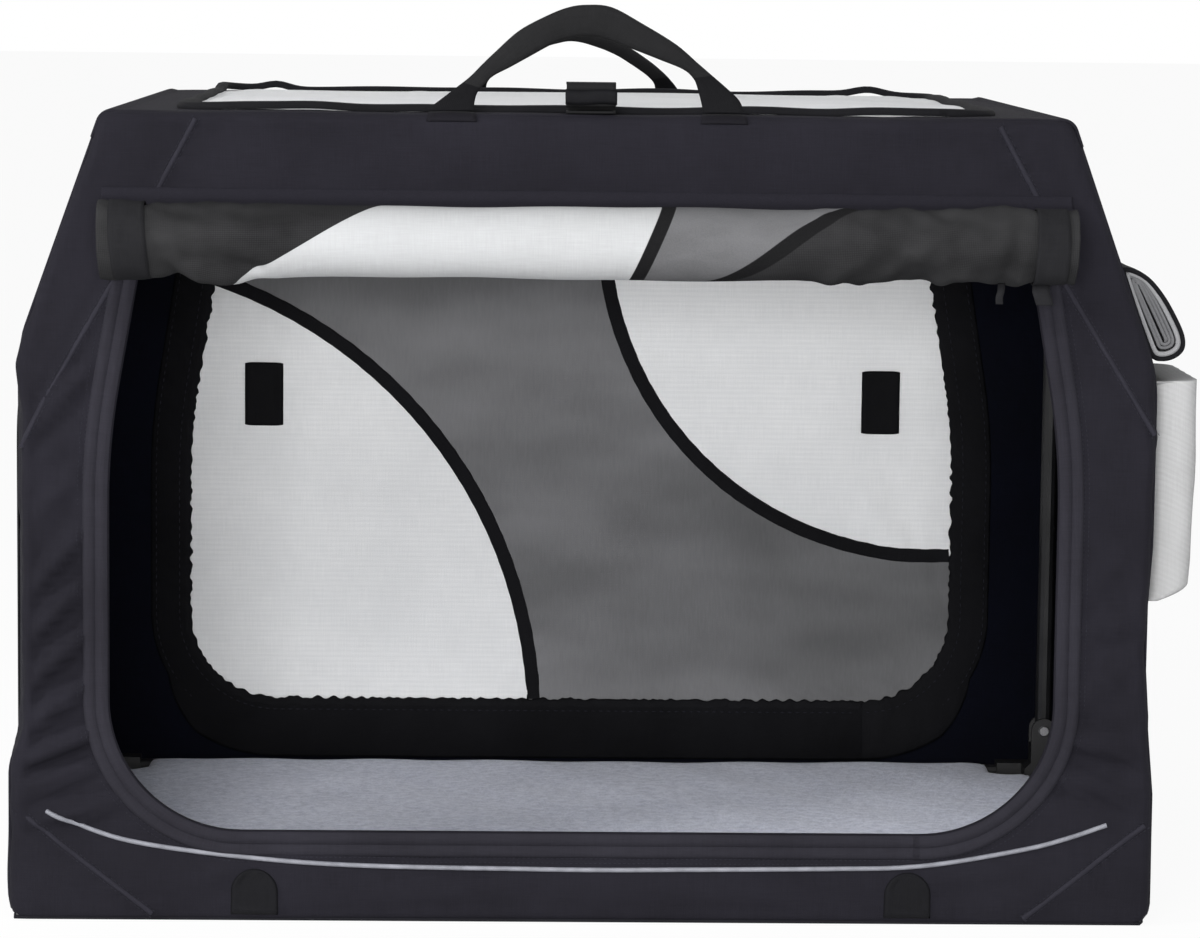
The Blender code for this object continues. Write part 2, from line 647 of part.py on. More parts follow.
def make_ends():
    make_end_wall("left_end_wall", -1)
    low = (-END_COVER_HALF, END_COVER_BOTTOM)
    high = (END_COVER_HALF, END_COVER_TOP)
    cover = rounded_rectangle(low, high, END_COVER_CORNER)
    face = -(HALF_LENGTH + SEAM_GAP)
    prism("left_end_cover", cover, "X", face - TRIM, face, LIGHT_GREY)
    wall = make_end_wall("right_end_wall", 1)
    low = (MESH_FRONT, END_COVER_BOTTOM)
    high = (MESH_REAR, END_COVER_TOP)
    near = HALF_LENGTH - FABRIC
    window = rounded_rectangle(low, high, END_COVER_CORNER)
    hole = prism("right_end_window", window, "X", near - CUT_OVERRUN, HALF_LENGTH + CUT_OVERRUN, CHARCOAL)
    cut(wall, cutter(hole.name, hole))
    low = (MESH_FRONT + SEAM_GAP, END_COVER_BOTTOM + SEAM_GAP)
    high = (MESH_REAR - SEAM_GAP, END_COVER_TOP - SEAM_GAP)
    mesh = rounded_rectangle(low, high, END_COVER_CORNER - SEAM_GAP)
    prism("right_end_mesh", mesh, "X", near, HALF_LENGTH, BLACK_MESH)
    make_cover_roll()
    make_pocket()


def make_cover_roll():
    """The right window's cover, rolled up loosely and hanging as a drop-shaped loop at the shoulder."""
    radius = (COVER_ROLL_REACH - COVER_CLOTH - SEAM_GAP * 2) / 2
    centre = Vector((HALF_LENGTH + COVER_ROLL_REACH - COVER_CLOTH / 2 - radius,
                     COVER_ROLL_FOOT + COVER_CLOTH / 2 + radius))
    stand = SEAM_GAP + COVER_CLOTH / 2
    top = (wall_x(COVER_ROLL_TOP, -stand), COVER_ROLL_TOP)
    hem = Vector((wall_x(COVER_ROLL_TOP - COVER_HEM, -stand), COVER_ROLL_TOP - COVER_HEM))
    to_hem = hem - centre
    hem_angle = math.degrees(math.atan2(to_hem.y, to_hem.x))
    spread = math.degrees(math.acos(radius / to_hem.length))
    outer = arc(centre, radius, hem_angle - spread, hem_angle + spread - 360, FINE_STEPS)
    inner_radius = radius - COVER_CLOTH * 1.6
    turn = Vector(outer[-1]).lerp(hem, COVER_INNER_SHARE)
    inner = arc(centre, inner_radius, hem_angle - spread, hem_angle - 230, ARC_STEPS)
    path = [top, tuple(hem)] + outer + [tuple(turn)] + [(turn.x + COVER_CLOTH * 1.3, turn.y)] + inner
    ends = (-COVER_ROLL_HALF, COVER_ROLL_HALF)
    band("right_end_cover_roll", path, COVER_CLOTH, "Y", ends, CHARCOAL, 40)


def make_pocket():
    """An open-topped pocket of box shape, its foot sloping up away from the wall."""
    near = HALF_LENGTH + SEAM_GAP
    far = HALF_LENGTH + POCKET_REACH
    rise = POCKET_CORNER * POCKET_SLOPE_SHARE

    def profile(inset, top):
        corner = POCKET_CORNER - inset
        points = [(near + inset, top), (near + inset, POCKET_FOOT + inset)]
        points += arc((far - POCKET_CORNER, POCKET_FOOT + rise + POCKET_CORNER), corner, -80, 0, ARC_STEPS)
        points.append((far - inset, top))
        return points

    pocket = prism("side_pocket", profile(0.0, POCKET_TOP), "Y", POCKET_FRONT, POCKET_REAR, LIGHT_GREY)
    hollow = prism("pocket_hollow", profile(FABRIC, POCKET_TOP + CUT_OVERRUN), "Y", POCKET_FRONT + FABRIC,
                   POCKET_REAR - FABRIC, LIGHT_GREY)
    cut(pocket, cutter(hollow.name, hollow))


# Hinge brackets: a sleeve on the base tube, and two ears that carry the foot of a bent end frame
def bow_sizes(side):
    if side < 0:
        return LEFT_BOW_HALF, LEFT_PIVOT_HEIGHT
    return RIGHT_BOW_HALF, RIGHT_PIVOT_HEIGHT


def make_bracket(name, side, depth_side):
    bow_half, pivot = bow_sizes(side)
    outer_x = HALF_LENGTH - FABRIC - SEAM_GAP * 2
    inner_x = outer_x - BRACKET_SLEEVE_LENGTH
    ear_x = PIVOT_X - BRACKET_EAR_RADIUS
    foot = FLOOR_THICKNESS + SEAM_GAP
    sleeve_radius = TUBE_RADIUS + SEAM_GAP + BRACKET_WALL
    sleeve_top = BASE_TUBE_HEIGHT + sleeve_radius
    slot_low = bow_half - TUBE_RADIUS - SLOT_PLAY
    slot_high = bow_half + TUBE_RADIUS + SLOT_PLAY

    def block(word, outline, low, high):
        ends = sorted((depth_side * low, depth_side * high))
        return prism(name + word, mirrored(outline, side), "Y", *ends, FITTING)

    reach = outer_x - PIVOT_X
    start = math.degrees(math.acos(reach / BRACKET_EAR_RADIUS))
    ears = [(outer_x, foot)]
    ears += arc((PIVOT_X, pivot), BRACKET_EAR_RADIUS, start, 180, ARC_STEPS)
    ears += [(ear_x, sleeve_top + BRACKET_EAR_RADIUS / 2), (ear_x - BRACKET_EAR_RADIUS / 2, sleeve_top)]
    ears += [(ear_x - BRACKET_EAR_RADIUS / 2, foot)]
    bracket = block("", ears, slot_low - BRACKET_EAR, slot_high + BRACKET_EAR)
    plate = [(outer_x, foot), (outer_x, sleeve_top), (ear_x - BRACKET_EAR_RADIUS / 2, sleeve_top),
             (ear_x - BRACKET_EAR_RADIUS / 2, foot)]
    web = block("_web", plate, slot_low - BRACKET_EAR / 2, RAIL_HALF)
    sleeve = [(outer_x, foot), (outer_x, sleeve_top), (inner_x, sleeve_top), (inner_x, foot)]
    sleeve = block("_sleeve", sleeve, RAIL_HALF - sleeve_radius, RAIL_HALF + sleeve_radius - CUT_OVERRUN / 4)
    for added in (web, sleeve):
        boolean(bracket, cutter(added.name, added), "UNION")
    slot_foot = pivot - FOOT_ROOM
    slot = [(outer_x + CUT_OVERRUN, slot_foot), (outer_x + CUT_OVERRUN, pivot + BRACKET_EAR_RADIUS * 2),
            (inner_x, pivot + BRACKET_EAR_RADIUS * 2), (inner_x, slot_foot)]
    slot = block("_slot", slot, slot_low, slot_high)
    hole_centre = Vector((0.0, depth_side * RAIL_HALF, BASE_TUBE_HEIGHT))
    ends = sorted((side * (inner_x - CUT_OVERRUN), side * (outer_x - BRACKET_WALL)))
    socket = round_hole(name + "_socket", "X", hole_centre, TUBE_RADIUS + SEAM_GAP, *ends)
    pin_centre = Vector((side * PIVOT_X, 0.0, pivot))
    ends = sorted((depth_side * (slot_low - BRACKET_EAR * 2), depth_side * (slot_high + BRACKET_EAR * 2)))
    pin_hole = round_hole(name + "_pin_hole", "Y", pin_centre, PIN_RADIUS + SEAM_GAP, *ends)
    cut(bracket, cutter(slot.name, slot), socket, pin_hole)


def make_pin(name, side, depth_side):
    """A rivet through both ears and the frame's foot, with a low round head at each end."""
    bow_half, pivot = bow_sizes(side)
    low = bow_half - TUBE_RADIUS - SLOT_PLAY - BRACKET_EAR - SEAM_GAP
    high = bow_half + TUBE_RADIUS + SLOT_PLAY + BRACKET_EAR + SEAM_GAP
    dome = PIN_HEAD / 2
    profile = [(0.0, low - PIN_HEAD), (PIN_HEAD_RADIUS - dome, low - PIN_HEAD), (PIN_HEAD_RADIUS, low - dome),
               (PIN_HEAD_RADIUS, low), (PIN_RADIUS, low), (PIN_RADIUS, high), (PIN_HEAD_RADIUS, high),
               (PIN_HEAD_RADIUS, high + dome), (PIN_HEAD_RADIUS - dome, high + PIN_HEAD),
               (0.0, high + PIN_HEAD)]
    profile = [(reach, depth_side * along) for reach, along in profile]
    turned(name, profile, "Y", Vector((side * PIVOT_X, 0.0, pivot)), PIN_STEEL)


# End frames: one tube each, bent from a foot up, over the knee, across and down again
def make_bow(name, side):
    bow_half, pivot = bow_sizes(side)
    foot = pivot - BOW_FOOT_TAIL
    corners = [
        Vector((side * PIVOT_X, -bow_half, foot)),
        Vector((side * PIVOT_X, -bow_half, KNEE_HEIGHT)),
        Vector((side * BOW_TOP_X, -bow_half, BOW_TOP_HEIGHT)),
        Vector((side * BOW_TOP_X, bow_half, BOW_TOP_HEIGHT)),
        Vector((side * PIVOT_X, bow_half, KNEE_HEIGHT)),
        Vector((side * PIVOT_X, bow_half, foot)),
    ]
    radii = [KNEE_RADIUS, BOW_CORNER_RADIUS, BOW_CORNER_RADIUS, KNEE_RADIUS]
    bow = tube(name, rounded_path(corners, radii), TUBE_STEEL)
    for depth_side, word in ((-1, "_front_hole"), (1, "_rear_hole")):
        centre = Vector((side * PIVOT_X, depth_side * bow_half, pivot))
        reach = TUBE_RADIUS + CUT_OVERRUN
        cut(bow, round_hole(name + word, "Y", centre, PIN_RADIUS + SEAM_GAP, -reach, reach))


# Roof frame: two long rails and two cross tubes in plastic elbows
def make_roof_frame():
    elbow_radius = TUBE_RADIUS + SEAM_GAP + CORNER_WALL
    for depth_side, word in ((-1, "front"), (1, "rear")):
        y = depth_side * RAIL_HALF
        end = TOP_TUBE_X - CORNER_BEND - SEAM_GAP
        tube(word + "_top_rail", [Vector((-end, y, RAIL_HEIGHT)), Vector((end, y, RAIL_HEIGHT))], TUBE_STEEL)
        end = HALF_LENGTH - FABRIC - SEAM_GAP * 3 - BRACKET_WALL
        path = [Vector((-end, y, BASE_TUBE_HEIGHT)), Vector((end, y, BASE_TUBE_HEIGHT))]
        tube(word + "_base_tube", path, TUBE_STEEL)
    for side, word in ((-1, "left"), (1, "right")):
        x = side * TOP_TUBE_X
        end = RAIL_HALF - CORNER_BEND - SEAM_GAP
        tube(word + "_top_tube", [Vector((x, -end, RAIL_HEIGHT)), Vector((x, end, RAIL_HEIGHT))], TUBE_STEEL)
        for depth_side, depth_word in ((-1, "front"), (1, "rear")):
            y = depth_side * RAIL_HALF
            corners = [
                Vector((x - side * CORNER_SLEEVE, y, RAIL_HEIGHT)),
                Vector((x, y, RAIL_HEIGHT)),
                Vector((x, y - depth_side * CORNER_REACH, RAIL_HEIGHT)),
            ]
            name = f"{word}_{depth_word}_top_elbow"
            path = rounded_path(corners, [CORNER_BEND])
            tube(name, path, FITTING, elbow_radius, TUBE_RADIUS + SEAM_GAP)


# Snap clips: each grips a cross tube of the roof and holds an end frame's top in an open jaw
def make_clip(name, side, depth_side):
    bow_half, pivot = bow_sizes(side)
    swing = 1.0 if side < 0 else RIGHT_FOLD_SHARE
    sink = ROOF_TRAVEL / LEFT_FOLD
    rise = sink - swing * (PIVOT_X - BOW_TOP_X)
    exit_angle = math.atan2(rise, swing * (BOW_TOP_HEIGHT - pivot))
    outward = Vector((-math.cos(exit_angle), math.sin(exit_angle)))
    across = Vector((math.sin(exit_angle), math.cos(exit_angle)))
    bow = Vector((BOW_TOP_X, BOW_TOP_HEIGHT))
    top = Vector((TOP_TUBE_X, RAIL_HEIGHT))
    top_local = ((top - bow).dot(outward), (top - bow).dot(across))
    jaw = TUBE_RADIUS + CLIP_MOUTH_PLAY
    shell = jaw + CLIP_WALL
    ring = TUBE_RADIUS + SEAM_GAP + CLIP_WALL

    def world(points):
        placed = [bow + outward * u + across * v for u, v in points]
        return mirrored([tuple(point) for point in placed], side)

    ends = sorted((depth_side * (CLIP_SETTING - CLIP_WIDTH / 2), depth_side * (CLIP_SETTING + CLIP_WIDTH / 2)))
    cup = arc((0.0, 0.0), shell, 90, 270, ARC_STEPS) + [(CLIP_JAW, -shell), (CLIP_JAW, shell)]
    clip = prism(name, world(cup), "Y", *ends, FITTING)
    neck = arc(top_local, ring, -60, 170, ARC_STEPS * 2)
    neck += [(-shell / 2, shell * CLIP_NECK_SHARES[0]), (CLIP_JAW, shell * CLIP_NECK_SHARES[1])]
    neck = prism(name + "_neck", world(neck), "Y", *ends, FITTING)
    boolean(clip, cutter(neck.name, neck), "UNION")
    past = (ends[0] - CUT_OVERRUN, ends[1] + CUT_OVERRUN)
    channel = arc((0.0, 0.0), jaw, 90, 270, FINE_STEPS) + [(ring * 4, -jaw), (ring * 4, jaw)]
    channel = prism(name + "_channel", world(channel), "Y", *past, FITTING)
    centre = Vector((side * TOP_TUBE_X, 0.0, RAIL_HEIGHT))
    grip = round_hole(name + "_grip", "Y", centre, TUBE_RADIUS + SEAM_GAP, *past)
    cut(clip, cutter(channel.name, channel), grip)


# Roof cover with its hatch, the folded strap and the two carry handles
def make_roof():
    middle = FABRIC / 2
    start = skirt_point(ROOF_SKIRT, middle)
    round_end = arc((ROOF_CORNER_X, ROOF_CORNER_Z), ROOF_CORNER - middle, math.degrees(LEAN_ANGLE), 90,
                    BEND_STEPS)
    half_path = [start] + round_end
    path = half_path + [(-x, z) for x, z in reversed(half_path)]
    cover = band("roof_cover", path, FABRIC, "Y", (-INNER_HALF_DEPTH, INNER_HALF_DEPTH), CHARCOAL)
    low = (-HATCH_HALF_LENGTH, -HATCH_HALF_DEPTH)
    high = (HATCH_HALF_LENGTH, HATCH_HALF_DEPTH)
    under = ROOF_HEIGHT - FABRIC
    hole = prism("hatch_opening", rounded_rectangle(low, high, HATCH_CORNER), "Z", under - CUT_OVERRUN,
                 ROOF_HEIGHT + CUT_OVERRUN, CHARCOAL)
    cut(cover, cutter(hole.name, hole))
    low = (-HATCH_HALF_LENGTH + SEAM_GAP, -HATCH_HALF_DEPTH + SEAM_GAP)
    high = (HATCH_HALF_LENGTH - SEAM_GAP, HATCH_HALF_DEPTH - SEAM_GAP)
    hatch = rounded_rectangle(low, high, HATCH_CORNER - SEAM_GAP)
    prism("roof_hatch", hatch, "Z", under, ROOF_HEIGHT, LIGHT_GREY)


def make_roof_strap():
    """A closure strap folded back on itself in a small stack on the roof's front border."""
    half = STRAP_DEPTH / 2
    level = ROOF_HEIGHT + SEAM_GAP + STRAP_CLOTH / 2
    path = [(STRAP_MIDDLE_Y - half, level)]
    for layer in range(STRAP_LAYERS - 1):
        side = 1 if layer % 2 == 0 else -1
        centre = (STRAP_MIDDLE_Y + side * (half - STRAP_FOLD / 2), level + STRAP_FOLD / 2)
        path += arc(centre, STRAP_FOLD / 2, -90, -90 + side * 180, BEND_STEPS)
        level += STRAP_FOLD
    side = 1 if STRAP_LAYERS % 2 else -1
    path.append((STRAP_MIDDLE_Y + side * half, level))
    band("roof_strap", path, STRAP_CLOTH, "X", (-STRAP_WIDTH / 2, STRAP_WIDTH / 2), WEBBING, 40)


def smooth_curve(points, steps):
    """A smooth curve through points in a plane."""
    curve = [points[0]]
    for index in range(len(points) - 1):
        before = Vector(points[max(index - 1, 0)])
        start = Vector(points[index])
        end = Vector(points[index + 1])
        after = Vector(points[min(index + 2, len(points) - 1)])
        for step in range(1, steps + 1):
            share = step / steps
            bend = (end - before) * share + (2 * before - 5 * start + 4 * end - after) * share ** 2
            bend += (3 * start - before - 3 * end + after) * share ** 3
            curve.append(tuple(start + bend / 2))
    return curve


def make_handle(name, depth_side, lean):
    """A webbing arch whose feet are sewn to the roof's edge; it turns about them."""
    axis_y = depth_side * (HALF_DEPTH - HANDLE_INSET)
    axis_z = ROOF_HEIGHT + SEAM_GAP + HANDLE_THICKNESS / 2 + HANDLE_LIFT
    right = [(HANDLE_SPREAD * a, HANDLE_RISE * b) for a, b in HANDLE_SHARES]
    left = [(-x, z) for x, z in reversed(right[:-1])]
    path = smooth_curve(right + left, 3)
    half = HANDLE_THICKNESS / 2
    foot = (Vector(path[0]) - Vector(path[1])).normalized() * HANDLE_BAND
    path = [(path[0][0] + foot.x, foot.y)] + path[1:-1] + [(-path[0][0] - foot.x, foot.y)]
    handle = band(name, path, HANDLE_BAND, "Y", (-half, half), WEBBING)
    reach = HANDLE_SPREAD + HANDLE_BAND * 2
    below = [(-reach, -HANDLE_BAND * 2), (reach, -HANDLE_BAND * 2), (reach, -half), (-reach, -half)]
    tool = prism(name + "_feet", below, "Y", -HANDLE_BAND, HANDLE_BAND, WEBBING)
    for item in (handle, tool):
        item.location = (0.0, axis_y, axis_z)
        item.rotation_euler = (lean, 0.0, 0.0)
    cut(handle, cutter(tool.name, tool))
    edge = handle.modifiers.new("soft_edge", "BEVEL")
    edge.width = HANDLE_EDGE
    edge.segments = 1
    edge.limit_method = "ANGLE"


# Rolled-up front door and the two ties round it
def make_roll():
    cloth = ROLL_CLOTH
    hem_y = -(HALF_DEPTH + SEAM_GAP + cloth / 2)
    clear_y = hem_y - TRIM - SEAM_GAP
    path = [(hem_y, ROLL_HEM_TOP), (clear_y, ROLL_HEM_TOP - ROLL_RADIUS / 2)]
    outer = ROLL_RADIUS - cloth / 2
    count = round(ROLL_TURNS * ROLL_STEPS)
    for index in range(count + 1):
        share = index / count
        angle = -math.tau * ROLL_TURNS * share
        radius = outer + (ROLL_CORE - outer) * share
        path.append((ROLL_Y + radius * math.cos(angle), ROLL_HEIGHT + radius * math.sin(angle)))
    drop = ROLL_HEM_TOP - ROLL_HEIGHT

    def sag(y, z, x):
        share = min(max((ROLL_HEM_TOP - z) / drop, 0.0), 1.0)
        middle = 1 - (x / ROLL_HALF) ** 2
        return y, z - ROLL_SAG * share * middle

    stations = [ROLL_HALF * (2 * index / ROLL_SPANS - 1) for index in range(ROLL_SPANS + 1)]
    band("front_door_roll", path, cloth, "X", stations, BLACK_MESH, 40, sag)
    ring = ROLL_RADIUS + TIE_STAND + TRIM / 2
    wall_y = -(HALF_DEPTH + SEAM_GAP + TRIM / 2)
    over_y = hem_y - cloth / 2 - SEAM_GAP * 2 - TRIM / 2
    path = [(wall_y, ROLL_HEM_TOP + ROLL_RADIUS), (wall_y, ROLL_HEM_TOP + ROLL_RADIUS / 4),
            (over_y, ROLL_HEM_TOP)]
    path += arc((ROLL_Y, ROLL_HEIGHT), ring, 52, 308, FINE_STEPS)
    foot_y = wall_y - TRIM - SEAM_GAP
    path.append((foot_y, ROLL_HEIGHT - ROLL_RADIUS * 1.2))
    path.append((foot_y, ROLL_HEIGHT - ROLL_RADIUS * 1.4))
    for side, word in ((-1, "left"), (1, "right")):
        middle = side * TIE_SETTING
        ends = (middle - TIE_WIDTH / 2, middle + TIE_WIDTH / 2)
        band("front_roll_tie_" + word, path, TRIM, "X", ends, WEBBING, 40)


# Zip sliders with their pull tabs
def make_slider(name, axis, height, across, along, direction):
    """A slider that lies on a face; across and along place its middle, direction points to its tab."""
    length = SLIDER_LENGTH / 2
    width = SLIDER_WIDTH / 2
    neck = SLIDER_WIDTH * SLIDER_NECK_SHARE
    tab_start = length + SLIDER_WIDTH / 2
    tab_end = tab_start + SLIDER_LENGTH
    shape = [(-length, width), (-length, -width), (length - width / 2, -width), (length, -width / 2),
             (length, -neck), (tab_start, -neck), (tab_start, -width / 2), (tab_end - width / 2, -width / 2),
             (tab_end, 0.0), (tab_end - width / 2, width / 2), (tab_start, width / 2), (tab_start, neck),
             (length, neck), (length, width / 2), (length - width / 2, width)]
    outline = [(across + direction * u, along + v) for u, v in shape]
    low, high = sorted((height, height + math.copysign(SLIDER_HEIGHT, height)))
    prism(name, outline, axis, low, high, ZIP_METAL)


# Axes of the joints, each with the pieces that move about it
def hang(name, position, pieces, carrier=None):
    """An empty on a joint's axis, made the parent of the pieces that move there."""
    axis = bpy.data.objects.new(name, None)
    axis.location = position
    bpy.context.scene.collection.objects.link(axis)
    held = [bpy.data.objects[piece] for piece in pieces]
    if carrier is not None:
        axis.parent = carrier
        axis.matrix_parent_inverse = Matrix.Translation(carrier.location).inverted()
    for piece in held:
        piece.parent = axis
        piece.matrix_parent_inverse = Matrix.Translation(position).inverted()
    return axis


make_floor()
make_front()
make_rear()
make_ends()
for side_word, side_sign in (("left", -1), ("right", 1)):
    make_bow(side_word + "_end_bow", side_sign)
    for depth_word, depth_sign in (("front", -1), ("rear", 1)):
        place_word = f"{side_word}_{depth_word}"
        make_bracket(place_word + "_hinge_bracket", side_sign, depth_sign)
        make_pin(place_word + "_hinge_pin", side_sign, depth_sign)
        make_clip(place_word + "_snap_clip", side_sign, depth_sign)
make_roof_frame()
make_roof()
make_roof_strap()
make_handle("front_carry_handle", -1, 0.0)
make_handle("rear_carry_handle", 1, REAR_HANDLE_LEAN)
make_roll()
zip_face = HALF_DEPTH + SEAM_GAP + TRIM + SEAM_GAP
zip_line = DOOR_BOTTOM - BINDING_WIDTH / 2
make_slider("rear_zip_slider_left", "Y", zip_face, -REAR_SLIDER_SETTING, zip_line, -1)
make_slider("rear_zip_slider_right", "Y", zip_face, REAR_SLIDER_SETTING, zip_line, 1)
hatch_zip = SLIDER_WIDTH / 2 - HATCH_HALF_DEPTH
make_slider("roof_zip_slider", "Z", ROOF_HEIGHT + SEAM_GAP, ROOF_SLIDER_SETTING, hatch_zip, 1)

hang("left_end_axis", (-PIVOT_X, 0.0, LEFT_PIVOT_HEIGHT), ["left_end_bow"])
hang("right_end_axis", (PIVOT_X, 0.0, RIGHT_PIVOT_HEIGHT), ["right_end_bow"])
roof_pieces = ["front_top_rail", "rear_top_rail", "left_top_tube", "right_top_tube", "roof_cover", "roof_hatch",
               "roof_strap", "front_door_roll", "front_roll_tie_left", "front_roll_tie_right"]
for side_word in ("left", "right"):
    for depth_word in ("front", "rear"):
        roof_pieces.append(f"{side_word}_{depth_word}_top_elbow")
        roof_pieces.append(f"{side_word}_{depth_word}_snap_clip")
roof_frame = hang("roof_drop_axis", (0.0, 0.0, RAIL_HEIGHT), roof_pieces)
handle_height = ROOF_HEIGHT + SEAM_GAP + HANDLE_THICKNESS / 2 + HANDLE_LIFT
for depth_word, depth_sign in (("front", -1), ("rear", 1)):
    foot_line = (0.0, depth_sign * (HALF_DEPTH - HANDLE_INSET), handle_height)
    hang(depth_word + "_handle_axis", foot_line, [depth_word + "_carry_handle"], roof_frame)
hang("roof_zip_axis", (ROOF_SLIDER_SETTING, hatch_zip, ROOF_HEIGHT + SEAM_GAP), ["roof_zip_slider"], roof_frame)
for side_word, side_sign in (("left", -1), ("right", 1)):
    slider = "rear_zip_slider_" + side_word
    hang(f"rear_zip_{side_word}_axis", (side_sign * REAR_SLIDER_SETTING, zip_face, zip_line), [slider])
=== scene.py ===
# %% [markdown]
# # A soft folding dog crate
#
# The crate is a box of sewn fabric over a hinged frame of thin steel tube. The frame, its brackets, clips
# and elbows are rigid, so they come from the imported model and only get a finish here. Everything that is
# sewn is built again below, cloth by cloth, because real cloth is never quite flat: it sags between its
# seams, puckers beside them and curls round its edges.

import math

import bmesh
import bpy
import numpy as np
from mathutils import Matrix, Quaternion, Vector


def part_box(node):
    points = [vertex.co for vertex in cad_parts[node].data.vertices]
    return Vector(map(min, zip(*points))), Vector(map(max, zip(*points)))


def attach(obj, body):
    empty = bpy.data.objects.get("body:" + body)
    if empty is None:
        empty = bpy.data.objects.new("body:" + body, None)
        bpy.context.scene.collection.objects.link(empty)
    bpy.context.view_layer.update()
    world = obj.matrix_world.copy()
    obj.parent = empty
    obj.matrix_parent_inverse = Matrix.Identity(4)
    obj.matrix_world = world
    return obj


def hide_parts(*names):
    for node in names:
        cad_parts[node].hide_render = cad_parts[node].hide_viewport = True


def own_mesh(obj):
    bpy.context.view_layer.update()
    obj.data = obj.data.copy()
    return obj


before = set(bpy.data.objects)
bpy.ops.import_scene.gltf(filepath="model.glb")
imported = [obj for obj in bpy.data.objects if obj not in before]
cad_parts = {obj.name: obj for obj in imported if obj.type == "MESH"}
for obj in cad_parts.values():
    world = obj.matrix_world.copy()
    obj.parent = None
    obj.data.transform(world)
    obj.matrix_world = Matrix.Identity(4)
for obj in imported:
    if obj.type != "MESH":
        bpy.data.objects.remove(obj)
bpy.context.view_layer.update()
scene = bpy.context.scene

# %% [markdown]
# The camera stands as the photographer did: well back, a little above the roof, almost in line with the
# front door. A long lens keeps the box's edges nearly parallel. A camera that is turned down a little
# needs no lens shift, so other views can use it as it is.

# %% Place the camera
camera_data = bpy.data.cameras.new("camera")
camera_data.sensor_width = 36.0
camera_data.lens = 124.97
camera_data.clip_end = 100.0
camera = bpy.data.objects.new("camera", camera_data)
scene.collection.objects.link(camera)
camera.location = (-0.0715, -3.9071, 0.8206)
aim = Vector((0.0129, -0.3328, 0.3997))
camera_roll = math.radians(0.646)
turn = (aim - camera.location).to_track_quat("-Z", "Y")
camera.rotation_mode = "QUATERNION"
camera.rotation_quaternion = turn @ Quaternion((0, 0, 1), camera_roll)
scene.camera = camera
scene.view_settings.view_transform = "Standard"
print("camera distance from the front door:", round((aim - camera.location).length, 3))

# %% [markdown]
# Shader maths reads best as ordinary sums. `Value` wraps one output of a shader node, and Python's
# operators on it add Math nodes. `Finish` is a material being made: `node` makes any other node from its
# kind, its settings and what goes into its sockets, and the other methods are nodes that come up often.


# %% Shader values that take Python's operators
def feed(tree, item, socket):
    """Puts a number, a colour or another node's value into a socket."""
    if isinstance(item, Value):
        tree.links.new(item.socket, socket)
    elif socket.type == "RGBA" and len(item) == 3:
        socket.default_value = (*item, 1.0)
    else:
        socket.default_value = item


class Value:
    """One output of a shader node."""

    def __init__(self, tree, socket):
        self.tree = tree
        self.socket = socket

    def sum(self, operation, *items):
        made = self.tree.nodes.new("ShaderNodeMath")
        made.operation = operation
        for item, socket in zip(items, made.inputs):
            feed(self.tree, item, socket)
        return Value(self.tree, made.outputs[0])

    def __add__(self, other):
        return self.sum("ADD", self, other)

    __radd__ = __add__

    def __mul__(self, other):
        return self.sum("MULTIPLY", self, other)

    __rmul__ = __mul__

    def __sub__(self, other):
        return self.sum("SUBTRACT", self, other)

    def __rsub__(self, other):
        return self.sum("SUBTRACT", other, self)

    def __lt__(self, other):
        return self.sum("LESS_THAN", self, other)

    def sine(self):
        return self.sum("SINE", self)

    def root(self):
        return self.sum("SQRT", self)

    def size(self):
        return self.sum("ABSOLUTE", self)

    def larger(self, other):
        return self.sum("MAXIMUM", self, other)

    def step(self, low, high):
        """0 below low, 1 above high, and a smooth rise between them."""
        made = self.tree.nodes.new("ShaderNodeMapRange")
        made.interpolation_type = "SMOOTHSTEP"
        for item, name in ((self, "Value"), (low, "From Min"), (high, "From Max")):
            feed(self.tree, item, made.inputs[name])
        return Value(self.tree, made.outputs["Result"])


class Finish:
    """A material being made."""

    def __init__(self, name):
        self.material = bpy.data.materials.new(name)
        self.material.use_nodes = True
        self.tree = self.material.node_tree
        self.shader = self.tree.nodes["Principled BSDF"]

    def node(self, kind, settings, sockets, output=0):
        made = self.tree.nodes.new("ShaderNode" + kind)
        for name, value in settings.items():
            setattr(made, name, value)
        for name, value in sockets.items():
            feed(self.tree, value, made.inputs[name])
        return Value(self.tree, made.outputs[output])

    def mix(self, mask, first, second):
        return self.node("Mix", {"data_type": "RGBA"}, {0: mask, 6: first, 7: second}, 2)

    def noise(self, place, scale, detail, roughness=0.55):
        sockets = {"Vector": place, "Scale": scale, "Detail": detail, "Roughness": roughness}
        return self.node("TexNoise", {}, sockets)

    def stretch(self, place, factors):
        return self.node("VectorMath", {"operation": "MULTIPLY"}, {0: place, 1: factors})

    def parts(self, place):
        return [self.node("SeparateXYZ", {}, {0: place}, axis) for axis in range(3)]

    def stored(self, label):
        """The coordinates that a mesh stores under a label: rest or cloth."""
        return self.node("Attribute", {"attribute_name": label}, {}, "Vector")

    def colour(self):
        """What goes into the surface's colour so far."""
        return Value(self.tree, self.shader.inputs["Base Color"].links[0].from_socket)

    def surface(self, **values):
        for name, value in values.items():
            feed(self.tree, value, self.shader.inputs[name.replace("_", " ")])

    def relief(self, height, depth):
        self.surface(Normal=self.node("Bump", {}, {"Height": height, "Distance": depth}))


def shade(code):
    """A colour as it looks on a screen, turned into the light values that a shader works with."""
    parts = [int(code[index : index + 2], 16) / 255 for index in (0, 2, 4)]
    return tuple(part / 12.92 if part < 0.04045 else ((part + 0.055) / 1.055) ** 2.4 for part in parts)


print("a mid grey of 808080 is", round(shade("808080")[0], 3), "as light")

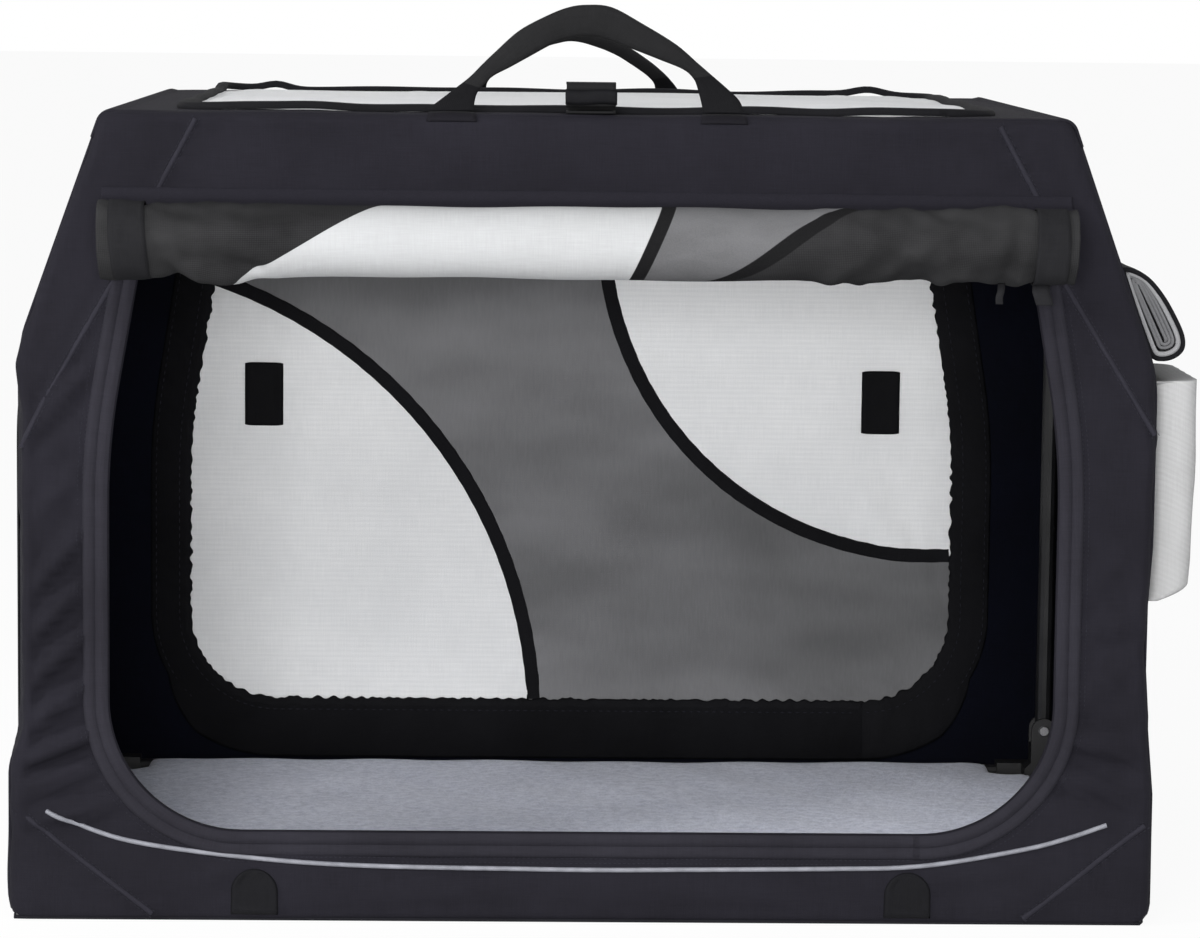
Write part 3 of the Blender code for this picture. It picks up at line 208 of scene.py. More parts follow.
# %% [markdown]
# The set is plain: a wide pale floor, an even sky, and large soft lamps. What the camera sees straight or
# in a mirror is white, but that white does not light the object, so a colour renders about as it is
# written. The lamps stand in front, since most of what shows of this crate is its dark inside.

# %% Light the set
world = bpy.data.worlds.new("studio")
scene.world = world
world.use_nodes = True
sky = world.node_tree
sky.nodes.clear()
SKY_LIGHT = 0.36
BACKGROUNDS = (((0.97, 0.98, 1.0, 1.0), SKY_LIGHT), ((1.0, 1.0, 1.0, 1.0), 1.0))


def seen_by_camera(tree, *other_rays):
    """1 for a ray from the camera or of one of the other kinds, 0 for a ray that only carries light."""
    rays = tree.nodes.new("ShaderNodeLightPath").outputs
    seen = Value(tree, rays["Is Camera Ray"])
    for kind in other_rays:
        seen = seen.larger(Value(tree, rays[f"Is {kind} Ray"]))
    return seen


choice = sky.nodes.new("ShaderNodeMixShader")
feed(sky, seen_by_camera(sky, "Glossy", "Transmission"), choice.inputs[0])
for (colour, strength), socket in zip(BACKGROUNDS, choice.inputs[1:]):
    background = sky.nodes.new("ShaderNodeBackground")
    background.inputs["Color"].default_value = colour
    background.inputs["Strength"].default_value = strength
    sky.links.new(background.outputs[0], socket)
sky_out = sky.nodes.new("ShaderNodeOutputWorld")
sky.links.new(choice.outputs[0], sky_out.inputs["Surface"])


def lamp(name, location, target, width, height, power):
    """A soft rectangular lamp that looks at its target."""
    data = bpy.data.lights.new(name, "AREA")
    data.shape = "RECTANGLE"
    data.size = width
    data.size_y = height
    data.energy = power
    made = bpy.data.objects.new(name, data)
    made.location = location
    made.rotation_mode = "QUATERNION"
    made.rotation_quaternion = (Vector(target) - Vector(location)).to_track_quat("-Z", "Y")
    scene.collection.objects.link(made)


CRATE_MIDDLE = (0.0, 0.0, 0.35)
lamp("front_lamp", (-0.3, -5.2, 0.80), (0.0, 0.3, 0.34), 2.2, 1.1, 205.0)
lamp("top_lamp", (-0.7, -3.1, 2.5), CRATE_MIDDLE, 1.3, 1.3, 62.0)
lamp("left_lamp", (-3.0, -1.7, 1.9), CRATE_MIDDLE, 0.8, 0.8, 85.0)
lamp("right_lamp", (3.6, -1.4, 1.8), CRATE_MIDDLE, 1.8, 1.8, 24.0)

FLOOR_REACH = 40.0
FLOOR_LEVEL = -0.0006
FLOOR_WHITE = 0.93
floor_mesh = bpy.data.meshes.new("studio_floor")
corners = [(-1, -1), (1, -1), (1, 1), (-1, 1)]
floor_points = [(x * FLOOR_REACH, y * FLOOR_REACH, FLOOR_LEVEL) for x, y in corners]
floor_mesh.from_pydata(floor_points, [], [(0, 1, 2, 3)])
studio_floor = bpy.data.objects.new("studio_floor", floor_mesh)
scene.collection.objects.link(studio_floor)
floor_finish = Finish("studio_floor")
floor_finish.surface(Base_Color=(0.80, 0.80, 0.80), Roughness=0.9)
glow = floor_finish.node("Emission", {}, {"Color": (1.0, 1.0, 1.0), "Strength": 1.0})
looked_at = seen_by_camera(floor_finish.tree, "Glossy")
lit = Value(floor_finish.tree, floor_finish.shader.outputs[0])
floor_mix = floor_finish.node("MixShader", {}, {0: looked_at * FLOOR_WHITE, 1: lit, 2: glow})
feed(floor_finish.tree, floor_mix, floor_finish.tree.nodes["Material Output"].inputs["Surface"])
floor_mesh.materials.append(floor_finish.material)

# %% [markdown]
# Every cloth below carries two sets of coordinates. `rest` is where a point of it is on the open crate, so
# a pattern stays put while the crate folds. `cloth` runs along the threads in metres, so that a weave
# follows the cloth round a bend or down a strap.


# %% Woven finishes
def woven(name, colour, light, pitch=0.0011, roughness=0.82, stripe=0.0):
    """Plain-woven polyester: fine threads, slubs along them, and a slow change of shade."""
    finish = Finish(name)
    place = finish.stored("cloth")
    rest = finish.stored("rest")
    along, across, _ = finish.parts(place)
    turns = math.tau / pitch
    warp = (along * turns).sine()
    weft = (across * turns).sine()
    threads = (warp * weft) * 0.5 + 0.5
    slub_one = finish.noise(finish.stretch(place, (40.0, 900.0, 0.0)), 1.0, 2.0)
    slub_two = finish.noise(finish.stretch(place, (900.0, 40.0, 0.0)), 1.0, 2.0)
    slubs = (slub_one + slub_two) * 0.5
    drift = finish.noise(rest, 9.0, 3.0)
    tone = (threads * 0.16 + slubs * 0.70 + drift * 0.60) - 0.25
    if stripe:
        bars = (across * (math.tau / 0.0052) + slub_two * 2.0).sine() * 0.5 + 0.5
        tone = tone - bars * stripe
    finish.surface(Base_Color=finish.mix(tone.step(0.05, 1.05), colour, light))
    finish.surface(Roughness=drift * 0.12 + (roughness - 0.06), Specular_IOR_Level=0.08)
    finish.relief(threads * 0.6 + slubs * 0.8, 0.00035)
    return finish


charcoal = woven("charcoal_cloth", shade("121116"), shade("232229")).material
lining = woven("navy_lining", shade("04050a"), shade("0b0d1a"), roughness=0.9).material
light_grey = woven("light_grey_cloth", shade("9e9e9e"), shade("b8b8b9"), stripe=0.10).material
hatch_white = woven("roof_hatch_cloth", shade("dcddde"), shade("f2f2f3"), stripe=0.06).material
mid_grey = woven("mid_grey_cloth", shade("545456"), shade("717173")).material
cover_grey = woven("cover_grey_cloth", shade("79797b"), shade("98989a")).material
strap_cloth = woven("black_webbing", shade("0c0c0d"), shade("1f1f20"), 0.0022, 0.7).material
binding_cloth = woven("black_binding", shade("08080a"), shade("1a1a1d"), 0.0016, 0.75).material
board_cloth = woven("floor_cloth", shade("111114"), shade("1e1e23")).material
print("woven finishes:", [item.name for item in bpy.data.materials if item.node_tree])

# %% [markdown]
# Mesh, fleece, reflective piping and the hard finishes need their own nodes. A mesh is holes: a round dot
# pattern feeds Alpha. Fleece is short curls, so its bump comes from small noise at two sizes. Tube and
# plastic have no cloth coordinates, so they use the object's own.


# %% Mesh, fleece, piping, tube, plastic and metal
def net(name, colour, light, pitch, open_share):
    """Knitted mesh: threads round small round holes."""
    finish = Finish(name)
    place = finish.stored("cloth")
    rest = finish.stored("rest")
    along, across, _ = finish.parts(place)
    turns = math.tau / pitch
    dots = ((along * turns).sine() * (across * turns).sine()).size()
    holes = dots.step(1 - open_share - 0.08, 1 - open_share + 0.08)
    drift = finish.noise(rest, 14.0, 3.0)
    finish.surface(Base_Color=finish.mix(drift.step(0.3, 0.7), colour, light), Roughness=0.85)
    finish.surface(Alpha=1.0 - holes, Specular_IOR_Level=0.2)
    finish.relief(1.0 - dots, 0.0004)
    return finish.material


def fleece_finish():
    """Short curls in tufts, with a slow change of shade."""
    finish = Finish("grey_fleece")
    rest = finish.stored("rest")
    curls = finish.noise(rest, 420.0, 4.0, 0.7)
    tufts = finish.noise(rest, 110.0, 3.0, 0.6)
    patches = finish.noise(rest, 11.0, 3.0, 0.6)
    tone = curls * 0.60 + tufts * 0.60 + patches * 0.25 - 0.22
    finish.surface(Base_Color=finish.mix(tone.step(0.25, 0.75), shade("979db6"), shade("d2d6e8")))
    finish.surface(Roughness=0.95, Sheen_Weight=0.5, Sheen_Roughness=0.5, Specular_IOR_Level=0.1)
    finish.relief(curls * 0.7 + tufts, 0.0022)
    return finish.material


def reflective_finish():
    """A ribbed grey cord, worn here and there."""
    finish = Finish("reflective_piping")
    place = finish.stored("cloth")
    along, across, _ = finish.parts(place)
    ribs = ((along + across) * (math.tau / 0.0016)).sine() * 0.5 + 0.5
    worn = finish.noise(place, 60.0, 4.0)
    tone = ribs * 0.3 + worn * 0.8
    finish.surface(Base_Color=finish.mix(tone.step(0.2, 0.9), shade("54555c"), shade("84858d")))
    finish.surface(Roughness=ribs * 0.15 + 0.38, Specular_IOR_Level=0.6)
    finish.relief(ribs, 0.0002)
    return finish.material


def hard_finish(name, colour, light, roughness, metallic, grain, depth):
    """Powder-coated tube, moulded plastic or plain metal, worn a little."""
    finish = Finish(name)
    place = finish.node("TexCoord", {}, {}, "Object")
    fine = finish.noise(place, grain, 3.0)
    worn = finish.noise(place, 22.0, 4.0, 0.65)
    finish.surface(Base_Color=finish.mix((fine * 0.5 + worn * 0.6).step(0.3, 0.8), colour, light))
    finish.surface(Roughness=worn * 0.18 + (roughness - 0.09), Metallic=metallic)
    finish.relief(fine, depth)
    return finish.material


black_mesh = net("black_mesh", shade("121212"), shade("222220"), 0.0034, 0.42)
fleece = fleece_finish()
reflective = reflective_finish()
tube_paint = hard_finish("tube_paint", shade("131314"), shade("222224"), 0.34, 0.0, 900.0, 0.00006)
fitting_plastic = hard_finish("fitting_plastic", shade("101011"), shade("1c1c1e"), 0.5, 0.0, 1400.0, 0.0001)
pin_metal = hard_finish("pin_metal", shade("9a9a9c"), shade("c4c4c6"), 0.36, 1.0, 700.0, 0.00004)
slider_metal = hard_finish("slider_metal", shade("161617"), shade("2a2a2c"), 0.4, 0.7, 800.0, 0.00004)
print("hard finishes ready")

# %% [markdown]
# A cloth is a grid of points. `cloth_piece` turns such a grid into a mesh, turns its faces outward, gives
# it both sets of coordinates and a thickness, and lays a lining colour on its inner side where it has one.
# Making cloth from a grid, and not from a filled outline, leaves points everywhere to sag and pucker.

# %% Cloth from grids
CLOTH_THICK = 0.0018
LINE_STEP = 0.006


def grid_faces(rows, columns, round_rows, round_columns):
    """The faces between the points of a grid, which may close on itself either way."""
    first = np.arange(rows * columns).reshape(rows, columns)
    second = np.roll(first, -1, axis=1)
    faces = np.dstack([first, second, np.roll(second, -1, axis=0), np.roll(first, -1, axis=0)])
    faces = faces[: rows if round_rows else rows - 1, : columns if round_columns else columns - 1]
    return [tuple(face) for face in faces.reshape(-1, 4).tolist()]


def mesh_object(name, points, faces, cloth, materials):
    """A mesh with its `rest` and `cloth` coordinates stored on its points."""
    mesh = bpy.data.meshes.new(name)
    points = np.asarray(points, float).reshape(-1, 3)
    mesh.from_pydata([tuple(point) for point in points], [], faces)
    for label, values in (("rest", points), ("cloth", np.asarray(cloth, float).reshape(-1, 3))):
        store = mesh.attributes.new(label, "FLOAT_VECTOR", "POINT")
        store.data.foreach_set("vector", values.astype(np.float32).ravel())
    for item in materials:
        mesh.materials.append(item)
    mesh.shade_smooth()
    mesh.update()
    made = bpy.data.objects.new(name, mesh)
    scene.collection.objects.link(made)
    return made


def turn_outward(made):
    """Turns the faces of a closed piece so that they all look outward."""
    shape = bmesh.new()
    shape.from_mesh(made.data)
    bmesh.ops.recalc_face_normals(shape, faces=shape.faces)
    shape.to_mesh(made.data)
    shape.free()


def walked(points):
    """How far along a line each of its points is."""
    return np.concatenate([[0.0], np.cumsum(np.linalg.norm(np.diff(points, axis=0), axis=1))])


def units(vectors):
    """The same vectors, each one unit long."""
    return vectors / np.linalg.norm(vectors, axis=1)[:, None]


def run_lengths(points):
    """How far along its line each point of a grid lies, in metres, down the rows and across the columns."""
    down = np.linalg.norm(np.diff(points, axis=0), axis=2)
    over = np.linalg.norm(np.diff(points, axis=1), axis=2)
    down = np.vstack([np.zeros((1, points.shape[1])), np.cumsum(down, axis=0)])
    over = np.hstack([np.zeros((points.shape[0], 1)), np.cumsum(over, axis=1)])
    return over, down


def cloth_piece(
    name, points, outward, look, inside=None, thick=CLOTH_THICK, around=False, cloth=None, offset=-1.0
):
    """A sewn cloth from a grid of points; outward is a direction that its outer face looks in, or a point
    that it looks away from when it goes around something. With offset 0 the grid is the cloth's middle."""
    points = np.asarray(points, float)
    rows, columns, _ = points.shape
    if cloth is None:
        over, down = run_lengths(points)
        cloth = np.dstack([over, down, np.zeros_like(over)])
    faces = grid_faces(rows, columns, False, around)
    flat = points.reshape(-1, 3)
    sample = faces[:: max(len(faces) // 40, 1)]
    score = 0.0
    for face in sample:
        a, b, c, d = (Vector(flat[index]) for index in face)
        normal = (c - a).cross(d - b)
        facing = Vector(outward) if not around else (a + c) / 2 - Vector(outward)
        score += normal.dot(facing)
    if score < 0:
        faces = [tuple(reversed(face)) for face in faces]
    materials = [look] if inside is None else [look, inside]
    made = mesh_object(name, flat, faces, cloth, materials)
    body = made.modifiers.new("thickness", "SOLIDIFY")
    body.thickness = thick
    body.offset = offset
    if inside is not None:
        body.material_offset = 1
    return made


def sweep(name, path, normal, profile, look, closed=False):
    """A strip of the profile's shape along a path. The profile is (across, up) points, anticlockwise."""
    count = len(path)
    if closed:
        ahead = np.roll(path, -1, axis=0)
        behind = np.roll(path, 1, axis=0)
    else:
        ahead = np.vstack([path[1:], path[-1:]])
        behind = np.vstack([path[:1], path[:-1]])
    tangents = units(ahead - behind)
    sides = units(np.cross(tangents, normal))
    ups = np.cross(sides, tangents)
    lengths = walked(path)
    rim = walked(profile)
    points = []
    cloth = []
    for index in range(count):
        for place, (across, up) in enumerate(profile):
            points.append(path[index] + sides[index] * across + ups[index] * up)
            cloth.append((lengths[index], rim[place], 0.0))
    faces = grid_faces(count, len(profile), closed, True)
    if not closed:
        faces.append(tuple(range(len(profile)))[::-1])
        last = (count - 1) * len(profile)
        faces.append(tuple(range(last, last + len(profile))))
    made = mesh_object(name, points, faces, cloth, [look])
    turn_outward(made)
    made.data.set_sharp_from_angle(angle=math.radians(55))
    return made


def mirrored(half, middle):
    """A profile from its right half and its middle point."""
    return half + [middle] + [(-across, up) for across, up in reversed(half)]


def round_profile(radius, lift):
    """The section of a cord with ten sides."""
    angles = [math.tau * index / 10 for index in range(10)]
    return [(radius * math.cos(angle), lift + radius * math.sin(angle)) for angle in angles]


def hill(distance, width):
    """A smooth bump that is 1 at the line and fades over the width."""
    return np.exp(-((distance / width) ** 2))


def creases(x, z, folds, dip, dip_place):
    """How far folds stand out. Each has a dip beside it, as deep and as far off as the shares say."""
    total = 0.0
    for start, end, height, width in folds:
        distance, _ = line_distance(x, z, [start, end])
        total += height * hill(distance, width) - height * dip * hill(distance - width * dip_place, width)
    return total


def line_distance(x, z, line):
    """How far points are from a line of straight runs, and how far along it they lie."""
    best = np.full(np.shape(x), 1e9)
    along = np.zeros(np.shape(x))
    walked = 0.0
    for (x0, z0), (x1, z1) in zip(line, line[1:]):
        dx, dz = x1 - x0, z1 - z0
        length = math.hypot(dx, dz)
        share = np.clip(((x - x0) * dx + (z - z0) * dz) / length**2, 0, 1)
        distance = np.hypot(x - (x0 + share * dx), z - (z0 + share * dz))
        closer = distance < best
        best = np.where(closer, distance, best)
        along = np.where(closer, walked + share * length, along)
        walked += length
    return best, along


def even_line(points, spacing, closed=False):
    """The same line with evenly spaced points."""
    points = np.asarray(points, float)
    if closed:
        points = np.vstack([points, points[:1]])
    lengths = walked(points)
    count = max(int(lengths[-1] / spacing), 2)
    places = np.linspace(0, lengths[-1], count + 1)
    if closed:
        places = places[:-1]
    return np.column_stack([np.interp(places, lengths, points[:, axis]) for axis in range(points.shape[1])])


print("cloth helpers ready; cloth is", CLOTH_THICK * 1000, "mm thick")

# %% [markdown]
# Seen from the front, the crate has six corners: upright walls to the shoulder, then a lean inward
# up to the roof. These sizes repeat the solid model's, so the cloth lies where the solids are.

# %% The crate's outlines
HALF_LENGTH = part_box("front_wall")[1].x
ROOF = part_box("front_wall")[1].z - 0.003
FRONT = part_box("front_wall")[0].y
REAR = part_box("rear_wall")[1].y
SHOULDER = 0.485
ROOF_HALF = 0.417
LEAN = (HALF_LENGTH - ROOF_HALF) / (ROOF - SHOULDER)
ROOF_ROUND = 0.013
FOOT_ROUND = 0.009
DOOR_BOTTOM = 0.080
DOOR_TOP = 0.605
BEND_ROUND = 0.600


def wall_x(z):
    """How far out an end wall stands at a height."""
    return np.minimum(HALF_LENGTH, HALF_LENGTH - (np.asarray(z, float) - SHOULDER) * LEAN)


def arc(centre_x, centre_z, radius, start, end, steps):
    """Points on a circle between two angles in degrees."""
    angles = [math.radians(start + (end - start) * index / steps) for index in range(steps + 1)]
    return [(centre_x + radius * math.cos(a), centre_z + radius * math.sin(a)) for a in angles]


def mirror_line(right):
    """A closed outline from its right half, which runs from the bottom to the top."""
    return np.array(right + [(-x, z) for x, z in reversed(right)])


LEAN_ANGLE = math.degrees(math.atan(LEAN))
CORNER_Z = ROOF - ROOF_ROUND
CORNER_X = HALF_LENGTH - (CORNER_Z - SHOULDER) * LEAN - ROOF_ROUND / math.cos(math.radians(LEAN_ANGLE))


def box_outline():
    """The crate's outline from the front."""
    right = arc(HALF_LENGTH - FOOT_ROUND, FOOT_ROUND, FOOT_ROUND, -90, 0, 4)
    right += arc(HALF_LENGTH - 0.03, SHOULDER - 0.005, 0.03, 0, LEAN_ANGLE, 3)
    right += arc(CORNER_X, CORNER_Z, ROOF_ROUND, LEAN_ANGLE, 90, 5)
    return mirror_line(right)


def door_outline(half, lean_in, corner, lean_from, grow=0.0):
    """A doorway's outline: round at the foot, with sides that lean in from a height on, and made larger
    all round by grow."""
    lean = math.atan2(lean_in, DOOR_TOP - lean_from)
    angle = math.degrees(lean)
    side = half + grow
    bottom = DOOR_BOTTOM - grow
    radius = corner + grow
    top_round = 0.030 + grow
    top = DOOR_TOP + grow
    right = arc(side - radius, bottom + radius, radius, -90, 0, 26)
    bend = BEND_ROUND + grow
    right += arc(side - bend, lean_from - BEND_ROUND * math.tan(lean / 2), bend, 0, angle, 12)
    centre_z = top - top_round
    edge_x = side - (centre_z - lean_from) * math.tan(lean)
    right += arc(edge_x - top_round / math.cos(lean) + top_round * 0.02, centre_z, top_round, angle, 90, 8)
    return mirror_line(right)


FRONT_DOOR = (0.411, 0.034, 0.115, 0.420)
REAR_DOOR = (0.392, 0.040, 0.090, 0.360)
outer_line = box_outline()
front_hole = door_outline(*FRONT_DOOR)
print("front outline points:", len(outer_line), "door outline points:", len(front_hole))

# %% [markdown]
# The front wall is a ring of cloth round a big doorway. Rays from the doorway's middle cut the doorway's
# outline and the box's outline, and rings of points between the two cuts make a grid with no seams in the
# wrong place. What makes it cloth is the relief on top: sewn seams that sink in and pull small puckers,
# long slanting folds where the cloth hangs slack beside the door, and a lower edge that swells out.

# %% Rings of cloth round a hole
RING_CENTRE = (0.0, 0.33)


def ray_reach(outline, angles):
    """The distance from the ring's centre to an outline, along each angle."""
    starts = np.asarray(outline) - RING_CENTRE
    ends = np.roll(starts, -1, axis=0)
    reach = np.zeros(len(angles))
    for index, angle in enumerate(angles):
        ray = np.array([math.cos(angle), math.sin(angle)])
        side_start = starts[:, 0] * ray[1] - starts[:, 1] * ray[0]
        side_end = ends[:, 0] * ray[1] - ends[:, 1] * ray[0]
        crossing = (side_start <= 0) != (side_end <= 0)
        share = side_start[crossing] / (side_start[crossing] - side_end[crossing])
        hit = starts[crossing] + (ends[crossing] - starts[crossing]) * share[:, None]
        reach[index] = (hit @ ray).max()
    return reach


def ring_angles(outlines, count):
    """Even angles, with the outlines' own points among them so that corners stay sharp."""
    angles = list(np.linspace(0, math.tau, count, endpoint=False))
    for outline in outlines:
        for x, z in outline:
            angles.append(math.atan2(z - RING_CENTRE[1], x - RING_CENTRE[0]) % math.tau)
    angles = sorted(angles)
    kept = [angles[0]]
    for angle in angles[1:]:
        if angle - kept[-1] > math.tau / count / 3:
            kept.append(angle)
    return np.array(kept)


FRONT_SEAMS = (
    [(-0.331, 0.707), (-0.368, 0.638), (-0.404, 0.562), (-0.440, 0.500), (-0.474, 0.443), (-0.497, 0.405)],
    [(0.348, 0.707), (0.386, 0.638), (0.409, 0.568), (0.450, 0.502), (0.487, 0.443), (0.498, 0.425)],
    [(-0.497, 0.104), (-0.451, 0.066), (-0.378, 0.010), (-0.366, 0.0)],
    [(0.497, 0.096), (0.446, 0.053), (0.396, 0.013), (0.380, 0.0)],
)
LEFT_FOLDS = (
    ((-0.433, 0.478), (-0.480, 0.426), 0.0074, 0.008),
    ((-0.438, 0.392), (-0.472, 0.360), 0.0049, 0.009),
    ((-0.434, 0.340), (-0.476, 0.296), 0.0109, 0.0085),
    ((-0.438, 0.292), (-0.478, 0.252), 0.0109, 0.0080),
    ((-0.434, 0.252), (-0.480, 0.212), 0.0134, 0.0085),
    ((-0.431, 0.208), (-0.482, 0.174), 0.0134, 0.0085),
    ((-0.421, 0.168), (-0.487, 0.140), 0.0123, 0.0080),
    ((-0.428, 0.138), (-0.490, 0.114), 0.0109, 0.0070),
    ((-0.400, 0.106), (-0.472, 0.088), 0.0064, 0.0070),
)
RIGHT_FOLDS = (
    ((0.436, 0.300), (0.478, 0.332), 0.0026, 0.010),
    ((0.437, 0.205), (0.484, 0.232), 0.0034, 0.010),
    ((0.438, 0.262), (0.490, 0.270), 0.0060, 0.009),
    ((0.428, 0.166), (0.492, 0.152), 0.0095, 0.008),
    ((0.418, 0.132), (0.490, 0.114), 0.0095, 0.008),
    ((0.300, 0.040), (0.390, 0.052), 0.0021, 0.009),
    ((-0.180, 0.022), (-0.060, 0.030), 0.0016, 0.010),
    ((0.080, 0.030), (0.190, 0.022), 0.0016, 0.010),
    ((-0.330, 0.030), (-0.300, 0.050), 0.0016, 0.009),
)


SEAM_DEPTH = 0.0015


def seam_relief(x, z, seams):
    """A sewn seam: its allowance stands up under the cloth, with a groove and small puckers beside it."""
    total = np.zeros(np.shape(x))
    for line in seams:
        distance, along = line_distance(x, z, line)
        pucker = np.sin(along * math.tau / 0.021) * np.sin(along * math.tau / 0.047 + 1.0)
        groove = hill(distance, 0.0042) - 0.9 * hill(distance - 0.0085, 0.0030)
        total += SEAM_DEPTH * (groove + 0.55 * pucker * hill(distance - 0.012, 0.009))
    return total


def front_relief(x, z):
    """How far the front wall's cloth stands out at a place on it."""
    x = np.asarray(x, float)
    z = np.asarray(z, float)
    total = seam_relief(x, z, FRONT_SEAMS)
    for start, end, height, width in LEFT_FOLDS + RIGHT_FOLDS:
        distance, along = line_distance(x, z, [start, end])
        length = math.hypot(end[0] - start[0], end[1] - start[1])
        total += height * hill(distance, width) * (0.35 + 0.65 * np.sin(np.pi * along / length))
        total -= height * 0.45 * hill(distance - width * 1.5, width)
    total += 0.0028 * hill(z - 0.036, 0.030) * (1 + 0.25 * np.sin(x * 19.0))
    total += 0.0012 * np.sin(x * 9.0 + 1.2) * hill(z - 0.665, 0.030)
    total += 0.0005 * np.sin(x * 37.0 + z * 23.0) * np.sin(z * 31.0 - x * 13.0)
    return total


RIM_ROUND = 0.010
RIM_ANGLES = (20.0, 40.0, 60.0, 78.0, 90.0)
HEM_ROWS = ((0.0, 0.0060), (0.0002, 0.0022), (-0.0008, 0.0007))


def upright(y):
    """Lays an outline in the upright plane at y."""
    return lambda line: np.column_stack([line[:, 0], np.full(len(line), y), line[:, 1]])


def ring_wall(name, hole, face, outward, relief, count, rings, pulls):
    """A wall with a doorway. Its hem turns in at the doorway, and its rim turns round the box's corner."""
    angles = ring_angles((outer_line, hole), count)
    rays = np.column_stack([np.cos(angles), np.sin(angles)])
    centre = np.array(RING_CENTRE)
    inner = ray_reach(hole, angles)
    outer = ray_reach(outer_line, angles)
    shares = np.linspace(0, 1, rings)[:, None]
    reach = inner + (outer - RIM_ROUND - inner) * shares
    places = centre + rays * reach[..., None]
    x, z = places[..., 0], places[..., 1]
    near_door = np.clip((reach - inner) / 0.030, 0, 1)
    near_edge = np.clip((outer - RIM_ROUND - reach) / 0.010, 0, 1)
    level = face + outward * relief(x, z) * near_door * near_edge
    rows = [np.dstack([x, level, z])]
    for angle in RIM_ANGLES:
        turned = math.radians(angle)
        place = centre + rays * (outer - RIM_ROUND * (1 - math.sin(turned)))[:, None]
        back = np.full(len(angles), face - outward * RIM_ROUND * (1 - math.cos(turned)))
        rows.append(np.column_stack([place[:, 0], back, place[:, 1]])[None])
    last = rows[-1].copy()
    last[..., 1] -= outward * 0.003
    rows.append(last)
    hem = []
    for grow, back in HEM_ROWS:
        place = centre + rays * (inner + grow)[:, None]
        hem.append(upright(face - outward * back)(place))
    rows[0] = rows[0][1:]
    grid = np.concatenate([np.array(hem)] + rows)
    off_centre = np.hypot(grid[..., 0], grid[..., 2] - centre[1])
    edge_share = np.clip((off_centre - inner) / (outer - inner), 0, 1)
    grid[..., 0] -= np.sign(grid[..., 0]) * pulls(grid[..., 0], grid[..., 2]) * edge_share**4
    flat_place = np.dstack([grid[..., 0], grid[..., 2], np.zeros(grid.shape[:2])])
    behind = (0, face - outward * 0.5, centre[1])
    return cloth_piece(name, grid, behind, charcoal, lining, around=True, cloth=flat_place)


# How far an end hangs in, from which height and over what run, up to which height and over what run; then how
# far its foot swells out, up to which height and over what run.
SLACK = {
    -1: (0.0078, 0.142, 0.028, SHOULDER + 0.03, 0.07, 0.0034, 0.150, 0.02),
    1: (0.0034, 0.185, 0.040, 0.335, 0.05, 0.0055, 0.175, 0.06),
}


def side_slack(z, side):
    """How far an end hangs in over its foot. The foot swells out instead, which is below zero."""
    z = np.asarray(z, float)
    deep, low, low_run, high, high_run, swell, swell_top, swell_run = SLACK[int(side)]
    inward = deep * np.clip((z - low) / low_run, 0, 1) * np.clip((high - z) / high_run, 0, 1)
    swelling = swell * np.clip((swell_top - z) / swell_run, 0, 1)
    return inward - swelling * np.clip((z + 0.003) / 0.018, 0.2, 1)


def off_floor(x, z):
    """1 at a wall's upright sides, fading to 0 at the floor."""
    return np.clip((z - 0.012) / 0.02, 0, 1) * (np.abs(x) > 0.3)


def front_pulls(x, z):
    """How far the sides draw in: both ends hang slack, and both edges waver."""
    waver = 0.0011 * np.sin(z * 41.0 + np.sign(x)) + 0.0008 * np.sin(z * 97.0)
    slack = np.where(x < 0, side_slack(z, -1), side_slack(z, 1)) * np.clip((np.abs(x) - 0.2) / 0.2, 0, 1)
    return slack + np.abs(waver) * off_floor(x, z)


front_wall = ring_wall(
    "front_wall_cloth", front_hole, FRONT, -1.0, front_relief, 340, 20, front_pulls
)
print("front wall:", len(front_wall.data.vertices), "points")

# %% [markdown]
# Things that are sewn onto the front lie on its relief, so they ask `front_relief` how far out to sit. The
# zip tape round the doorway is a flat strip with the zip's coil as a low ridge along its middle.


# %% Trims on the front wall
OUT_FRONT = (0.0, -1.0, 0.0)
OUT_REAR = (0.0, 1.0, 0.0)
UPWARD = (0.0, 0.0, 1.0)


def on_front(line, lift):
    """Points on the front wall's cloth, a little above it."""
    x, z = line[:, 0], line[:, 1]
    near_end = np.clip((np.abs(x) - 0.411) / 0.086, 0, 1) ** 4
    drawn_in = np.where(x < 0, side_slack(z, -1), -side_slack(z, 1)) * near_end
    return np.column_stack([x + drawn_in, FRONT - front_relief(x, z) - lift, z])


def zip_tape(name, line, lay, outward, width):
    """The tape round an opening, with the zip's coil as a ridge. lay puts the outline's points in space."""
    points = lay(even_line(line, 0.007, closed=True))
    half = width / 2
    tape = [(half, 0.0), (half, 0.0009), (half - 0.0012, 0.0014)]
    coil = [(0.0021, 0.0012), (0.00147, 0.0024)]
    profile = mirrored(tape + coil, (0.0, 0.0028))
    return sweep(name, points, outward, profile, binding_cloth, closed=True)


FLAP_HALF = 0.01075


